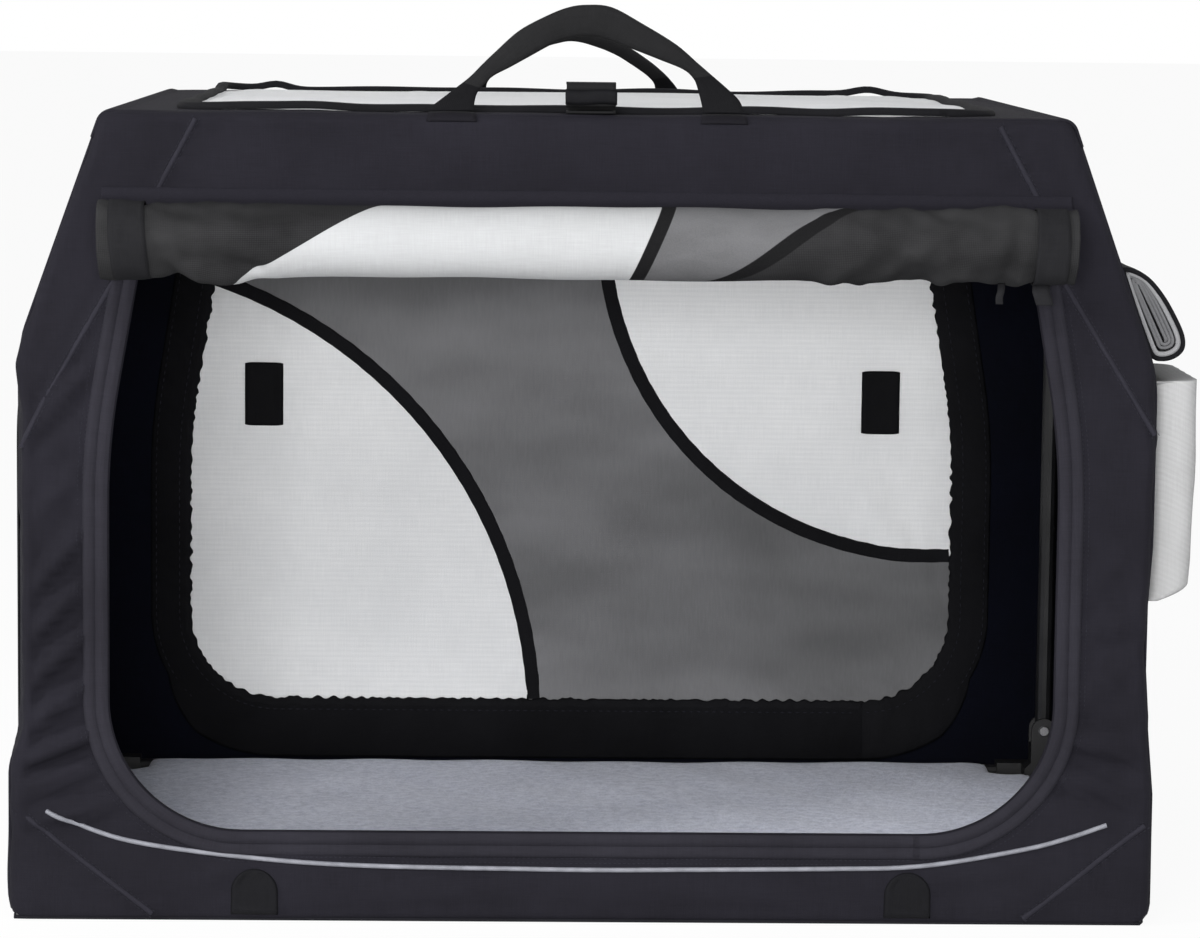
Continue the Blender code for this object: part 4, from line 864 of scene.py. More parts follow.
def zip_flap():
    """The smooth flap that covers the front zip: two soft swellings with a thin seam between them."""
    outline = even_line(door_outline(*FRONT_DOOR, 0.0115), LINE_STEP, closed=True)
    place = np.arange(len(outline))
    points = upright(FRONT - 0.0002)(outline)
    points[:, 1] -= 0.0005 * np.sin(place * 0.31) * np.sin(place * 0.083)
    right = [(FLAP_HALF, -0.0004), (FLAP_HALF - 0.0004, 0.0014), (FLAP_HALF - 0.0030, 0.0029)]
    seam = [(FLAP_HALF * 0.45, 0.0030), (0.0014, 0.0018), (0.0, 0.0008), (-0.0014, 0.0018)]
    left = [(-FLAP_HALF * 0.45, 0.0033), (-FLAP_HALF + 0.0030, 0.0026)]
    left += [(-FLAP_HALF, 0.0010), (-FLAP_HALF, -0.0004)]
    return sweep("front_zip_flap", points, OUT_FRONT, right + seam + left, flap_cloth, closed=True)


flap_cloth = woven("front_flap_cloth", shade("19181d"), shade("2c2b32"), roughness=0.75).material
front_zip = zip_flap()
PIPING_X = (-0.464, -0.428, -0.384, -0.301, -0.203, -0.090, 0.019, 0.140, 0.220, 0.300, 0.383, 0.425, 0.459)
PIPING_Z = (0.096, 0.081, 0.069, 0.058, 0.051, 0.0485, 0.048, 0.049, 0.050, 0.053, 0.067, 0.078, 0.090)


def smooth_line(points, steps):
    """A smooth curve through the points."""
    points = np.asarray(points, float)
    padded = np.vstack([2 * points[0] - points[1], points, 2 * points[-1] - points[-2]])
    curve = []
    for a, b, c, d in zip(padded, padded[1:], padded[2:], padded[3:]):
        for step in range(steps):
            t = step / steps
            square, cube = 2 * a - 5 * b + 4 * c - d, 3 * b - a - 3 * c + d
            curve.append(b + 0.5 * ((c - a) * t + square * t**2 + cube * t**3))
    curve.append(points[-1])
    return np.array(curve)


piping_points = on_front(smooth_line(list(zip(PIPING_X, PIPING_Z)), 8), -0.0004)
front_piping = sweep(
    "front_reflective_cord", piping_points, OUT_FRONT, round_profile(0.0021, 0.0008), reflective
)


def row_panel(half_widths, levels, columns):
    """Rows of points across a shape whose half-width changes with its level; x and level for each point."""
    shares = np.sin(np.linspace(-math.pi / 2, math.pi / 2, columns))
    shares = 0.5 * shares + 0.5 * np.linspace(-1, 1, columns)
    x = np.asarray(half_widths)[:, None] * shares[None, :]
    return x, np.asarray(levels)[:, None] * np.ones(columns)[None, :]


def arched_patch(name, middle):
    """A plain patch with a round top, stuffed a little by the seam allowance under its edge."""
    radius = 0.0205
    foot, top = 0.006, 0.047
    spring = top - radius
    arch = spring + radius * np.sin(np.linspace(0.2, 1.52, 8))
    levels = np.concatenate([np.linspace(foot, spring, 8), arch])
    arch_half = np.sqrt(np.maximum(radius**2 - (levels - spring) ** 2, 1e-8))
    half = np.where(levels < spring, radius, arch_half)
    x, z = row_panel(half, levels, 15)
    edge = np.minimum(half[:, None] - np.abs(x), np.minimum(z - foot, top - z))
    lift = 0.0016 + 0.0012 * hill(edge - 0.003, 0.0018) - 0.0014 * (edge < 0.0004)
    y = FRONT - front_relief(x + middle, z) - lift
    points = np.dstack([x + middle, y, z])
    return cloth_piece(name, points, OUT_FRONT, binding_cloth, thick=0.0012)


patch_left = arched_patch("front_patch_left_cloth", -0.2845)
patch_right = arched_patch("front_patch_right_cloth", 0.286)
print("front trims:", front_zip.name, front_piping.name, patch_left.name, patch_right.name)

# %% [markdown]
# Stitches are small, but they say "sewn" more than anything else. One mesh holds a row of them: each is a
# short rod, sunk halfway into the cloth, with a gap before the next. They are laid along every seam.


# %% Rows of stitches
def stitch_rows(name, rows, pitch=0.0042, share=0.68, radius=0.00038):
    """Each line of points becomes a row of stitches, seen from the front."""
    points = []
    faces = []
    cloth = []
    rod = grid_faces(3, 4, False, True) + [(3, 2, 1, 0), (8, 9, 10, 11)]
    normal = np.array(OUT_FRONT)
    for line in rows:
        lengths = walked(line)
        for place in np.arange(pitch / 2, lengths[-1] - pitch, pitch):
            ends = []
            for spot in (place, place + pitch * share):
                ends.append(np.array([np.interp(spot, lengths, line[:, axis]) for axis in range(3)]))
            along = ends[1] - ends[0]
            along /= np.linalg.norm(along)
            side = np.cross(along, normal)
            start = len(points)
            middle = (ends[0] + ends[1]) / 2 + normal * radius
            for centre, size in ((ends[0], 0.35), (middle, 1.0), (ends[1], 0.35)):
                for across, up in ((1, 0), (0, 1), (-1, 0), (0, -1)):
                    points.append(centre + (side * across + normal * up) * radius * size)
                    cloth.append((place, across * radius, 0.0))
            faces += [tuple(start + corner for corner in face) for face in rod]
    made = mesh_object(name, points, faces, cloth, [thread])
    turn_outward(made)
    return made


thread = woven("sewing_thread", shade("1d1d22"), shade("303038"), 0.0006, 0.6).material
# Seam ridge cloth is lighter than the charcoal: painted highlight where the seam allowances catch light.
seam_highlight_cloth = woven("seam_ridge_cloth", shade("1b1a20"), shade("2f2e36"), roughness=0.7).material


def beside(line, offset):
    """A line shifted sideways in its plane."""
    line = np.asarray(line, float)
    along = units(np.vstack([line[1:], line[-1:]]) - np.vstack([line[:1], line[:-1]]))
    return line + np.column_stack([-along[:, 1], along[:, 0]]) * offset


front_rows = []
for seam in FRONT_SEAMS:
    for offset in (-0.0032, 0.0032):
        front_rows.append(on_front(even_line(beside(seam, offset), LINE_STEP)[1:-1], -0.0003))
for grow in (0.0225, 0.0265):
    front_rows.append(on_front(even_line(door_outline(*FRONT_DOOR, grow), LINE_STEP, closed=True), -0.0002))
front_stitches = stitch_rows("front_stitching", front_rows)
seam_highlight_ridges = []
for number, seam in enumerate(FRONT_SEAMS):
    points = on_front(even_line(seam, 0.005)[2:-2], -0.0022)
    name = f"front_seam_ridge_{number + 1}"
    seam_highlight_ridges.append(sweep(name, points, OUT_FRONT, round_profile(0.0026, 0.0), seam_highlight_cloth))
print("front stitches:", len(front_stitches.data.polygons) // 10)

# %% [markdown]
# The rear wall is the same kind of ring, seen through the front doorway from its inside. A black binding
# with a wavy edge frames the rear door on that side, and a zip tape frames it outside.

# %% The rear wall and its bindings
REAR_FOLDS = (
    ((-0.436, 0.300), (-0.478, 0.332), 0.0014, 0.010),
    ((0.430, 0.210), (0.480, 0.176), 0.0022, 0.009),
    ((0.428, 0.150), (0.486, 0.128), 0.0020, 0.008),
    ((-0.180, 0.026), (-0.040, 0.034), 0.0010, 0.011),
)
REAR_SEAMS = [[(-x, z) for x, z in seam] for seam in FRONT_SEAMS]


def rear_relief(x, z):
    """How far the rear wall's cloth stands out."""
    total = seam_relief(x, z, REAR_SEAMS) + creases(x, z, REAR_FOLDS, 0.45, 1.5)
    total += 0.0026 * hill(z - 0.036, 0.030) * (1 + 0.25 * np.sin(x * 17.0 + 1.0))
    total += 0.0012 * np.sin(x * 8.0) * hill(z - 0.665, 0.030)
    return total + 0.0006 * np.sin(x * 33.0 + z * 21.0) * np.sin(z * 27.0 - x * 11.0)


def rear_pulls(x, z):
    """How far the rear wall's sides draw in."""
    return 0.0010 * np.abs(np.sin(z * 37.0)) * off_floor(x, z)


rear_hole = door_outline(*REAR_DOOR)
rear_wall = ring_wall("rear_wall_cloth", rear_hole, REAR, 1.0, rear_relief, 280, 16, rear_pulls)
rear_zip = zip_tape(
    "rear_zip_tape", door_outline(*REAR_DOOR, 0.010), upright(REAR + 0.0003), OUT_REAR, 0.018
)


def wavy_border(name, offsets, levels, wave):
    """A band round the rear doorway's inside, its inner edge wavy where the stitches gather it."""
    step = 0.0024
    base = even_line(door_outline(*REAR_DOOR), step, closed=True)
    ahead = units(np.roll(base, -1, axis=0) - np.roll(base, 1, axis=0))
    away = np.column_stack([ahead[:, 1], -ahead[:, 0]])
    lengths = np.arange(len(base)) * step
    strength = 0.6 + 0.4 * np.sin(lengths * math.tau / 0.230 + 0.7)
    ripple = strength * np.sin(lengths * math.tau / 0.0192 + 3.4 * np.sin(lengths * math.tau / 0.148))
    ripple += 0.45 * np.sin(lengths * math.tau / 0.0117 + 3.0 * np.sin(lengths * math.tau / 0.093))
    wider = 1 + 0.55 * np.clip((0.125 - base[:, 1]) / 0.03, 0, 1)
    rows = []
    for index, (offset, level) in enumerate(zip(offsets, levels)):
        shift = offset * wider if offset > 0 else offset
        shift = shift + wave * ripple * (1 - index / (len(offsets) - 1)) ** 1.5
        place = base + away * shift[:, None]
        lift = 0.0007 * np.sin(lengths * math.tau / 0.023 + index) * (0 < index < len(offsets) - 1)
        rows.append(np.column_stack([place[:, 0], REAR - level - lift, place[:, 1]]))
    return cloth_piece(name, np.array(rows), (0, REAR + 0.5, 0.33), binding_cloth, thick=0.0012, around=True)


rear_border = wavy_border(
    "rear_door_inner_binding",
    (-0.0030, -0.0016, 0.0030, 0.0110, 0.0210, 0.0310, 0.0365, 0.0385),
    (0.0056, 0.0070, 0.0080, 0.0082, 0.0074, 0.0058, 0.0044, 0.0030),
    0.0014,
)
print("rear wall:", len(rear_wall.data.vertices), "points; border:", len(rear_border.data.vertices))

# %% [markdown]
# The rear door is the picture's middle: two light fields and a grey one between them, with broad black
# piping along two big arcs. It is closed, so it hangs in its doorway. Each level of the door is a row of
# points, so the round corners keep an even grid. Circles in the finish mark off the fields.

# %% The rear door
LOW_CIRCLE = (-0.517, 0.058, 0.480)
HIGH_CIRCLE = (0.368, 0.572, 0.338)


def outline_halves(outline, levels):
    """The half-width of a closed outline at each level."""
    right = np.array([(x, z) for x, z in outline if x > 0])
    right = right[np.argsort(right[:, 1], kind="stable")]
    return np.interp(levels, right[:, 1], right[:, 0])


def corner_levels(low, high, count):
    """Levels from low to high, closer together at both ends where the corners are round."""
    t = np.linspace(0, 1, count)
    ends = 0.5 - 0.5 * np.cos(t * math.pi)
    return low + (high - low) * (0.6 * ends + 0.4 * t)


rear_line = door_outline(*REAR_DOOR, -0.0006)
door_levels = corner_levels(DOOR_BOTTOM + 0.0008, DOOR_TOP - 0.0008, 96)
X, Z = row_panel(outline_halves(rear_line, door_levels), door_levels, 120)


DOOR_FOLDS = (
    ((0.235, 0.250), (0.330, 0.120), 0.0030, 0.020),
    ((0.160, 0.300), (0.240, 0.160), 0.0022, 0.022),
    ((0.300, 0.300), (0.372, 0.180), 0.0026, 0.016),
    ((-0.330, 0.180), (-0.250, 0.120), 0.0012, 0.014),
    ((0.060, 0.520), (0.020, 0.380), 0.0016, 0.030),
)


def door_sag(x, z):
    """How far inward the closed door's cloth hangs at a place on it."""
    edge = np.minimum(outline_halves(rear_line, z) - np.abs(x), np.minimum(z - DOOR_BOTTOM, DOOR_TOP - z))
    turn_angle = np.arctan2(z - 0.34, x)
    pucker = np.sin(turn_angle * 74.0 + 1.7 * np.sin(turn_angle * 9.0))
    sag = 0.0016 * pucker * hill(edge - 0.006, 0.014)
    for (middle_x, middle_z, radius), waves in ((LOW_CIRCLE, 120.0), (HIGH_CIRCLE, 90.0)):
        gap = np.abs(np.hypot(x - middle_x, z - middle_z) - radius)
        ripple = np.sin(np.arctan2(z - middle_z, x - middle_x) * waves)
        sag += 0.0010 * ripple * hill(gap - 0.014, 0.010)
    sag += 0.0022 * np.sin(x * 11.0 + z * 5.0) * np.sin(z * 8.0 + 0.4) * np.clip(edge / 0.08, 0, 1)
    return (sag + creases(x, z, DOOR_FOLDS, 0.5, 1.4)) * np.clip(edge / 0.01, 0.15, 1)


DOOR_FACE = REAR - 0.0019
points = np.dstack([X, DOOR_FACE - door_sag(X, Z), Z])
door_cloth_place = np.dstack([X, Z, np.zeros_like(X)])

door_finish = woven("rear_door_cloth", shade("dcddde"), shade("f6f6f6"), stripe=0.12)
rest = door_finish.stored("rest")
place_x, _, place_z = door_finish.parts(rest)


def inside_circle(circle):
    """1 in the part of the door that lies inside a circle."""
    gap_x = place_x - circle[0]
    gap_z = place_z - circle[1]
    return (gap_x * gap_x + gap_z * gap_z).root() < circle[2]


light_field = inside_circle(LOW_CIRCLE).larger(inside_circle(HIGH_CIRCLE))
light_tone = door_finish.colour()
grey_noise = door_finish.noise(door_finish.stretch(rest, (1.0, 1.0, 2.2)), 5.0, 2.0)
grey_fine = door_finish.noise(door_finish.stretch(rest, (500.0, 500.0, 60.0)), 1.0, 2.0)
grey_mask = (grey_noise * 0.85 + grey_fine * 0.15).step(0.1, 0.95)
grey_tone = door_finish.mix(grey_mask, shade("565657"), shade("7e7e80"))
door_finish.surface(Base_Color=door_finish.mix(light_field, grey_tone, light_tone))
rear_door = cloth_piece(
    "rear_door_cloth", points, OUT_REAR, door_finish.material, thick=0.0014, cloth=door_cloth_place
)


def arc_in_door(circle):
    """The part of a circle that lies inside the rear doorway, as points in the wall's plane."""
    low, high = DOOR_BOTTOM + 0.001, DOOR_TOP - 0.001
    angles = np.arange(0, math.tau, 0.006 / circle[2])
    x = circle[0] + circle[2] * np.cos(angles)
    z = circle[1] + circle[2] * np.sin(angles)
    inside = (z > low) & (z < high) & (np.abs(x) < outline_halves(rear_line, np.clip(z, low, high)))
    start = np.flatnonzero(inside & ~np.roll(inside, 1))[0]
    order = np.roll(np.arange(len(angles)), -start)
    chosen = [index for index in order if inside[index]]
    return np.column_stack([x[chosen], z[chosen]])


lower_half = mirrored([(0.0072, -0.0010), (0.0062, -0.0030)], (0.0, -0.0037))
upper_half = mirrored([(0.0072, 0.0004), (0.0062, 0.0020)], (0.0, 0.0026))
profile = lower_half + upper_half[::-1]
door_pipings = []
for name, circle in (("low", LOW_CIRCLE), ("high", HIGH_CIRCLE)):
    line = arc_in_door(circle)
    points = np.column_stack([line[:, 0], DOOR_FACE - door_sag(line[:, 0], line[:, 1]), line[:, 1]])
    door_pipings.append(
        sweep(f"rear_door_{name}_piping_tape", points, OUT_REAR, profile, binding_cloth)
    )


def tie_patch(name, node, drop):
    """A small reinforced patch with a stitched rim, on the door's inner side."""
    low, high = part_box(node)
    x, z = np.meshgrid(np.linspace(low.x, high.x, 15), np.linspace(low.z, high.z, 23) - drop)
    bottom, top = low.z - drop, high.z - drop
    edge = np.minimum(np.minimum(x - low.x, high.x - x), np.minimum(z - bottom, top - z))
    lift = 0.0012 * hill(edge - 0.0042, 0.0022) + 0.0004 * np.sin(x * 140.0) * np.sin(z * 90.0)
    corner = 0.0022 * ((np.abs(x - (low.x + high.x) / 2) / (high.x - low.x)) * 2) ** 6
    rounded = z + corner * np.sign((bottom + top) / 2 - z) * 0.5
    y = DOOR_FACE - door_sag(x, z) - 0.0040 - lift
    return cloth_piece(name, np.dstack([x, y, rounded]), OUT_FRONT, patch_cloth, thick=0.0016)


patch_cloth = woven("tie_patch_cloth", shade("08080a"), shade("161618"), 0.0016, 0.75).material
tie_patches = [
    tie_patch(f"rear_tie_patch_{side}_cloth", f"rear_tie_patch_{side}", drop)
    for side, drop in (("left", -0.0080), ("right", -0.0045))
]
print("rear door:", len(rear_door.data.vertices), "points; pipings", [item.name for item in door_pipings])

# %% Stitches on the band round the rear door
band_rows = []
for grow, level in ((0.0090, 0.0090), (0.0330, 0.0058)):
    line = even_line(door_outline(*REAR_DOOR, grow), LINE_STEP, closed=True)
    band_rows.append(upright(REAR - level)(line))
rear_stitches = stitch_rows("rear_band_stitching", band_rows, 0.0078, 0.55, 0.0006)
print("stitches on the rear band:", len(rear_stitches.data.polygons) // 10)

# %% [markdown]
# The end walls rise from the floor to the shoulder and then lean in to the roof's edge. A row of the grid
# runs along the crate's depth, and the columns climb the wall. The steel bows behind press faint upright
# ridges into the cloth, and a seam crosses at the shoulder. The right wall has a mesh window, so the faces
# in the opening are left out and a tape covers the cut.

# %% The end walls
WALL_LIFT = 0.0006
LEAN_SLANT = math.hypot(ROOF - SHOULDER, HALF_LENGTH - ROOF_HALF)
LEAN_OUT = (ROOF - SHOULDER) / LEAN_SLANT
LEAN_UP = (HALF_LENGTH - ROOF_HALF) / LEAN_SLANT


def end_face(y, z, side, lift):
    """A point of an end wall's face, lifted along the face's own direction."""
    turn = np.clip((z - SHOULDER + 0.012) / 0.024, 0, 1)
    turn = turn * turn * (3 - 2 * turn)
    out = 1 + (LEAN_OUT - 1) * turn
    up = LEAN_UP * turn
    round_off = 0.0016 * hill(z - SHOULDER, 0.012)
    slack = side_slack(z, side)
    near_front = np.clip((-0.272 - y) / 0.058, 0, 1)
    off_rear = np.clip((0.300 - y) / 0.120, 0, 1)
    round_off += np.where(slack > 0, slack * near_front, slack * off_rear)
    if side < 0:
        round_off += 0.0022 * np.clip(slack / 0.004, 0, 1) * np.clip((0.10 - y) / 0.20, 0, 1)
    return np.stack([side * (wall_x(z) - round_off + lift * out), y, z + lift * up], axis=-1)


END_FOLDS = (
    ((-0.310, 0.430), (-0.270, 0.360), 0.0022, 0.010),
    ((0.310, 0.300), (0.275, 0.240), 0.0020, 0.010),
    ((-0.312, 0.180), (-0.270, 0.120), 0.0022, 0.011),
    ((0.050, 0.620), (0.120, 0.560), 0.0018, 0.014),
    ((-0.150, 0.600), (-0.070, 0.540), 0.0018, 0.014),
    ((0.240, 0.070), (0.300, 0.110), 0.0020, 0.010),
)


def end_relief(y, z, side):
    """How far an end wall's cloth stands out."""
    bow = 0.270 if side < 0 else 0.290
    total = 0.0012 * hill(np.abs(y) - bow, 0.008) * np.clip(z / 0.05, 0, 1)
    total += 0.0026 * hill(z - 0.034, 0.028) * (1 + 0.3 * np.sin(y * 23.0))
    total -= 0.0014 * hill(z - SHOULDER, 0.003)
    pucker = np.sin(y * math.tau / 0.034) * np.sin(y * math.tau / 0.089)
    total += 0.0010 * pucker * hill(np.abs(z - SHOULDER) - 0.009, 0.010)
    total += 0.0018 * np.sin(y * 12.0 + side + z * 4.0) * np.sin(z * 9.0 + 0.5)
    return total + creases(y, z, END_FOLDS, 0.4, 1.5)


def outline_box(half, low, high, corner, middle=0.0):
    """A rectangle with round corners, as a closed outline."""
    right = arc(half - corner, low + corner, corner, -90, 0, 8)
    right += arc(half - corner, high - corner, corner, 0, 90, 8)
    outline = mirror_line(right)
    return outline + np.array([middle, 0.0])


WINDOW_HALF = 0.180
WINDOW_MIDDLE = 0.095
WINDOW_LOW, WINDOW_HIGH = 0.100, 0.470
WINDOW_CORNER = 0.060
WALL_TOP = 0.694
HALF_DEPTH = 0.335


def in_window(y, z):
    """Whether a place on the right wall lies in the window, whose corners are round."""
    off_y = abs(y - WINDOW_MIDDLE) - WINDOW_HALF
    off_z = abs(z - (WINDOW_LOW + WINDOW_HIGH) / 2) - (WINDOW_HIGH - WINDOW_LOW) / 2
    if max(off_y, off_z) > -0.006:
        return False
    return math.hypot(max(off_y + WINDOW_CORNER, 0), max(off_z + WINDOW_CORNER, 0)) < WINDOW_CORNER - 0.006


def end_wall(name, side, window):
    """A wall from the floor over the shoulder to the roof."""
    upright_part = [np.linspace(0.0015, 0.012, 4), np.linspace(0.018, 0.473, 80)]
    levels = np.concatenate(upright_part + [np.linspace(0.478, WALL_TOP, 38)])
    depth = HALF_DEPTH - RIM_ROUND + 0.0012
    middle = np.linspace(-depth + 0.004, depth - 0.004, 112)
    places = np.concatenate([[-depth, -depth + 0.0016], middle, [depth - 0.0016, depth]])
    y, z = np.meshgrid(places, levels)
    tuck = 0.0016 * (np.abs(y) > depth - 0.0008) + 0.0022 * (z < 0.006)
    near = np.clip((depth - np.abs(y)) / 0.012, 0, 1) * np.clip((WALL_TOP - z) / 0.02, 0, 1)
    points = end_face(y, z, side, WALL_LIFT + end_relief(y, z, side) * near - tuck)
    flat_place = np.dstack([y, z, np.zeros_like(y)])
    made = cloth_piece(name, points, (side, 0, 0), charcoal, lining, cloth=flat_place)
    if window:
        cut = bmesh.new()
        cut.from_mesh(made.data)
        centres = [(face, face.calc_center_median()) for face in cut.faces]
        gone = [face for face, centre in centres if in_window(centre.y, centre.z)]
        bmesh.ops.delete(cut, geom=gone, context="FACES")
        cut.to_mesh(made.data)
        cut.free()
    return made


left_wall = end_wall("left_end_wall_cloth", -1.0, False)
right_wall = end_wall("right_end_wall_cloth", 1.0, True)
print("end walls:", len(left_wall.data.polygons), "and", len(right_wall.data.polygons), "faces")

# %% The left cover and the right window
def end_panel(name, side, half, low, high, corner, middle, stand, look, thick, swell):
    """A round-cornered panel lying on an end wall, swollen a little in the middle."""
    outline = outline_box(half, low, high, corner)
    levels = corner_levels(low + 0.0005, high - 0.0005, 56)
    halves = outline_halves(outline, levels)
    across, z = row_panel(halves, levels, 64)
    edge = np.minimum(halves[:, None] - np.abs(across), np.minimum(z - low, high - z))
    soft = np.clip(edge / 0.05, 0, 1)
    lift = stand + swell * soft * soft * (3 - 2 * soft)
    lift += 0.0008 * np.sin(across * 150.0 + z * 130.0) * hill(edge - 0.012, 0.012)
    lift += 0.0010 * np.sin(across * 17.0 + 0.8) * np.sin(z * 21.0) * soft
    y = across + middle
    points = end_face(y, z, side, lift)
    return cloth_piece(name, points, (side, 0, 0), look, thick=thick)


def on_end(side, stand):
    """Lays an outline in depth and height on an end wall."""
    return lambda line: end_face(line[:, 0], line[:, 1], side, np.full(len(line), stand))


left_cover = end_panel(
    "left_end_cover_cloth", -1.0, 0.252, 0.108, 0.462, 0.052, 0.0, 0.0034, light_grey, 0.0014, 0.0030
)
cover_line = outline_box(0.251, 0.109, 0.461, 0.051)
left_tape = zip_tape("left_cover_zip_tape", cover_line, on_end(-1.0, 0.0036), (-1.0, 0.0, 0.0), 0.018)
right_mesh = end_panel(
    "right_end_mesh_net", 1.0, 0.178, 0.102, 0.468, 0.058, WINDOW_MIDDLE, 0.0030, black_mesh, 0.0006, 0.0012
)
window_line = outline_box(0.176, 0.104, 0.466, 0.056, WINDOW_MIDDLE)
right_tape = zip_tape("right_window_zip_tape", window_line, on_end(1.0, 0.0034), (1.0, 0.0, 0.0), 0.020)
print("end panels:", left_cover.name, right_mesh.name)

# %% [markdown]
# The window's cover is rolled up and hangs as a drop-shaped loop over the window, its black binding at
# both ends. Under it, at the front, is a flat pocket that closes to the wall at its top and at its slanted
# foot.

# %% The rolled window cover and the pocket
ROLL_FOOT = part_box("right_end_cover_roll")[0].z + 0.0012
pocket_low, pocket_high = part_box("side_pocket")
DROP = (
    (0.0016, 0.0850),
    (0.0120, 0.0835),
    (0.0235, 0.0755),
    (0.0320, 0.0590),
    (0.0368, 0.0380),
    (0.0372, 0.0250),
    (0.0330, 0.0150),
    (0.0230, 0.0082),
    (0.0110, 0.0056),
    (0.0030, 0.0090),
    (0.0012, 0.0300),
    (0.0012, 0.0580),
)
DROP_SPINE = np.array(((0.0192, 0.0235), (0.0120, 0.0715)))


def drop_section(start, end, turns, steps):
    """The drop-shaped section of the cover's roll, out from the wall and up, winding inward in turns."""
    outline = smooth_line(DROP + DROP[:1], 8)[:-1]
    places = np.linspace(0, turns, steps)
    around = places % 1.0 * len(outline)
    outline = np.vstack([outline, outline[:1]])
    loop = np.column_stack([np.interp(around, np.arange(len(outline)), outline[:, axis]) for axis in (0, 1)])
    share = np.linspace(start, end, steps)[:, None]
    run = DROP_SPINE[1] - DROP_SPINE[0]
    along = np.clip((loop - DROP_SPINE[0]) @ run / (run @ run), 0, 1)[:, None]
    core = DROP_SPINE[0] + along * run
    return core + (loop - core) * share


def roll_low_wall(up):
    """Where the wall's face is behind the roll, at a height above the roll's foot."""
    return wall_x(ROLL_FOOT + up) + 0.0012


def cover_layer(name, section, end, look, thick):
    """A layer of the rolled cover, its section carried along the wall's depth."""
    rows = []
    for y in np.concatenate([[-end], np.linspace(-end + 0.004, end - 0.004, 60), [end]]):
        sway = 0.0009 * math.sin(y * 37.0) + 0.0006 * math.sin(y * 91.0)
        sway = sway * np.clip(section[:, 0] / 0.02, 0, 1)
        squeeze = 1 - 0.04 * hill(end - abs(y), 0.01)
        x = roll_low_wall(section[:, 1]) + section[:, 0] * squeeze + sway
        rows.append(np.column_stack([x, np.full(len(section), y), ROLL_FOOT + section[:, 1]]))
    return cloth_piece(name, np.array(rows), (1, 0, 0), look, thick=thick, offset=0.0)


cover_outer, cover_middle, cover_inner = (
    cover_layer(f"cover_roll_{label}", drop_section(*turns), end, look, thick)
    for label, turns, end, look, thick in (
        ("outer", (0.96, 0.93, 1.0, 97), 0.2975, binding_cloth, 0.0040),
        ("light_layer", (0.73, 0.70, 1.0, 80), 0.2965, cover_grey, 0.0040),
        ("grey_layer", (0.52, 0.06, 2.6, 130), 0.2960, mid_grey, 0.0026),
    )
)


def pocket_cloth():
    """The pocket's cloth: round a flat box in depth, closing to the wall at its top and its slanted foot."""
    parts = [np.linspace(0.010, 0.03, 10), np.linspace(0.036, 0.188, 34), [0.193, 0.196, 0.1972]]
    closing = [(level, 1.0) for level in np.concatenate(parts)]
    closing += [(0.1976, 0.93), (0.1974, 0.70), (0.1966, 0.40), (0.1950, 0.12)]
    full = pocket_high.x - pocket_low.x - 0.0115
    front, rear = pocket_low.y + 0.0010, pocket_high.y - 0.0010
    wall = pocket_low.x + 0.0010
    rows = []
    for level, kept in closing:
        foot = min((level - 0.008) / 0.016, 1.0)
        reach = full * (0.10 + 0.90 * math.sin(foot * math.pi / 2) ** 0.8) if foot < 1 else full
        reach *= (0.90 + 0.10 * min(level / 0.11, 1.0)) * kept
        corner = min(0.020, reach * 0.45)
        bend = wall + reach - corner
        line = [(wall, front), (wall + (reach - corner) * 0.5, front), (bend, front)]
        line += arc(bend, front + corner, corner, -80, 0, 7)
        line += [(wall + reach, y) for y in np.linspace(front + corner + 0.008, rear - corner - 0.008, 14)]
        line += arc(bend, rear - corner, corner, 0, 80, 7)
        line += [(bend, rear), (wall + (reach - corner) * 0.5, rear), (wall, rear)]
        line = np.array(line)
        height = pocket_low.z + level * 1.038
        along = np.sin((line[:, 1] - front) / (rear - front) * math.pi)
        bulge = 0.0016 * math.sin(level / 0.198 * math.pi) * along
        fold = 0.0009 * np.sin(line[:, 1] * 95.0 + height * 34.0)
        out = np.clip((line[:, 0] - wall) / reach, 0, 1)
        x = line[:, 0] - (0.0020 - bulge + np.abs(fold)) * out
        rows.append(np.column_stack([x, line[:, 1], np.full(len(line), height)]))
    return cloth_piece("side_pocket_cloth", np.array(rows), (1, 0, 0), light_grey, thick=0.0014)


pocket = pocket_cloth()
print("right end:", cover_outer.name, cover_middle.name, cover_inner.name, pocket.name)

# %% [markdown]
# The roof is charcoal cloth with a big light hatch. The cloth lies on the four top tubes and falls a little
# towards both ends. The hatch is stiffer, so its middle stands up in a low crown, and the black binding
# round it bunches up where the zip ends at the two rear corners.


# %% The roof cloth and the hatch
def roof_level(x, y):
    """The height of the roof's cloth."""
    ends = np.clip((np.abs(x) - 0.350) / 0.055, 0, 1)
    rear = np.clip((y - 0.20) / 0.12, 0, 1)
    corner = ends * np.clip((np.abs(y) - 0.280) / 0.020, 0, 1)
    wave = 0.0006 * np.sin(x * 31.0 + y * 9.0) * np.sin(y * 17.0)
    return ROOF + 0.0008 - 0.0014 * ends**2 - 0.0008 * rear**2 + 0.0017 * corner + wave


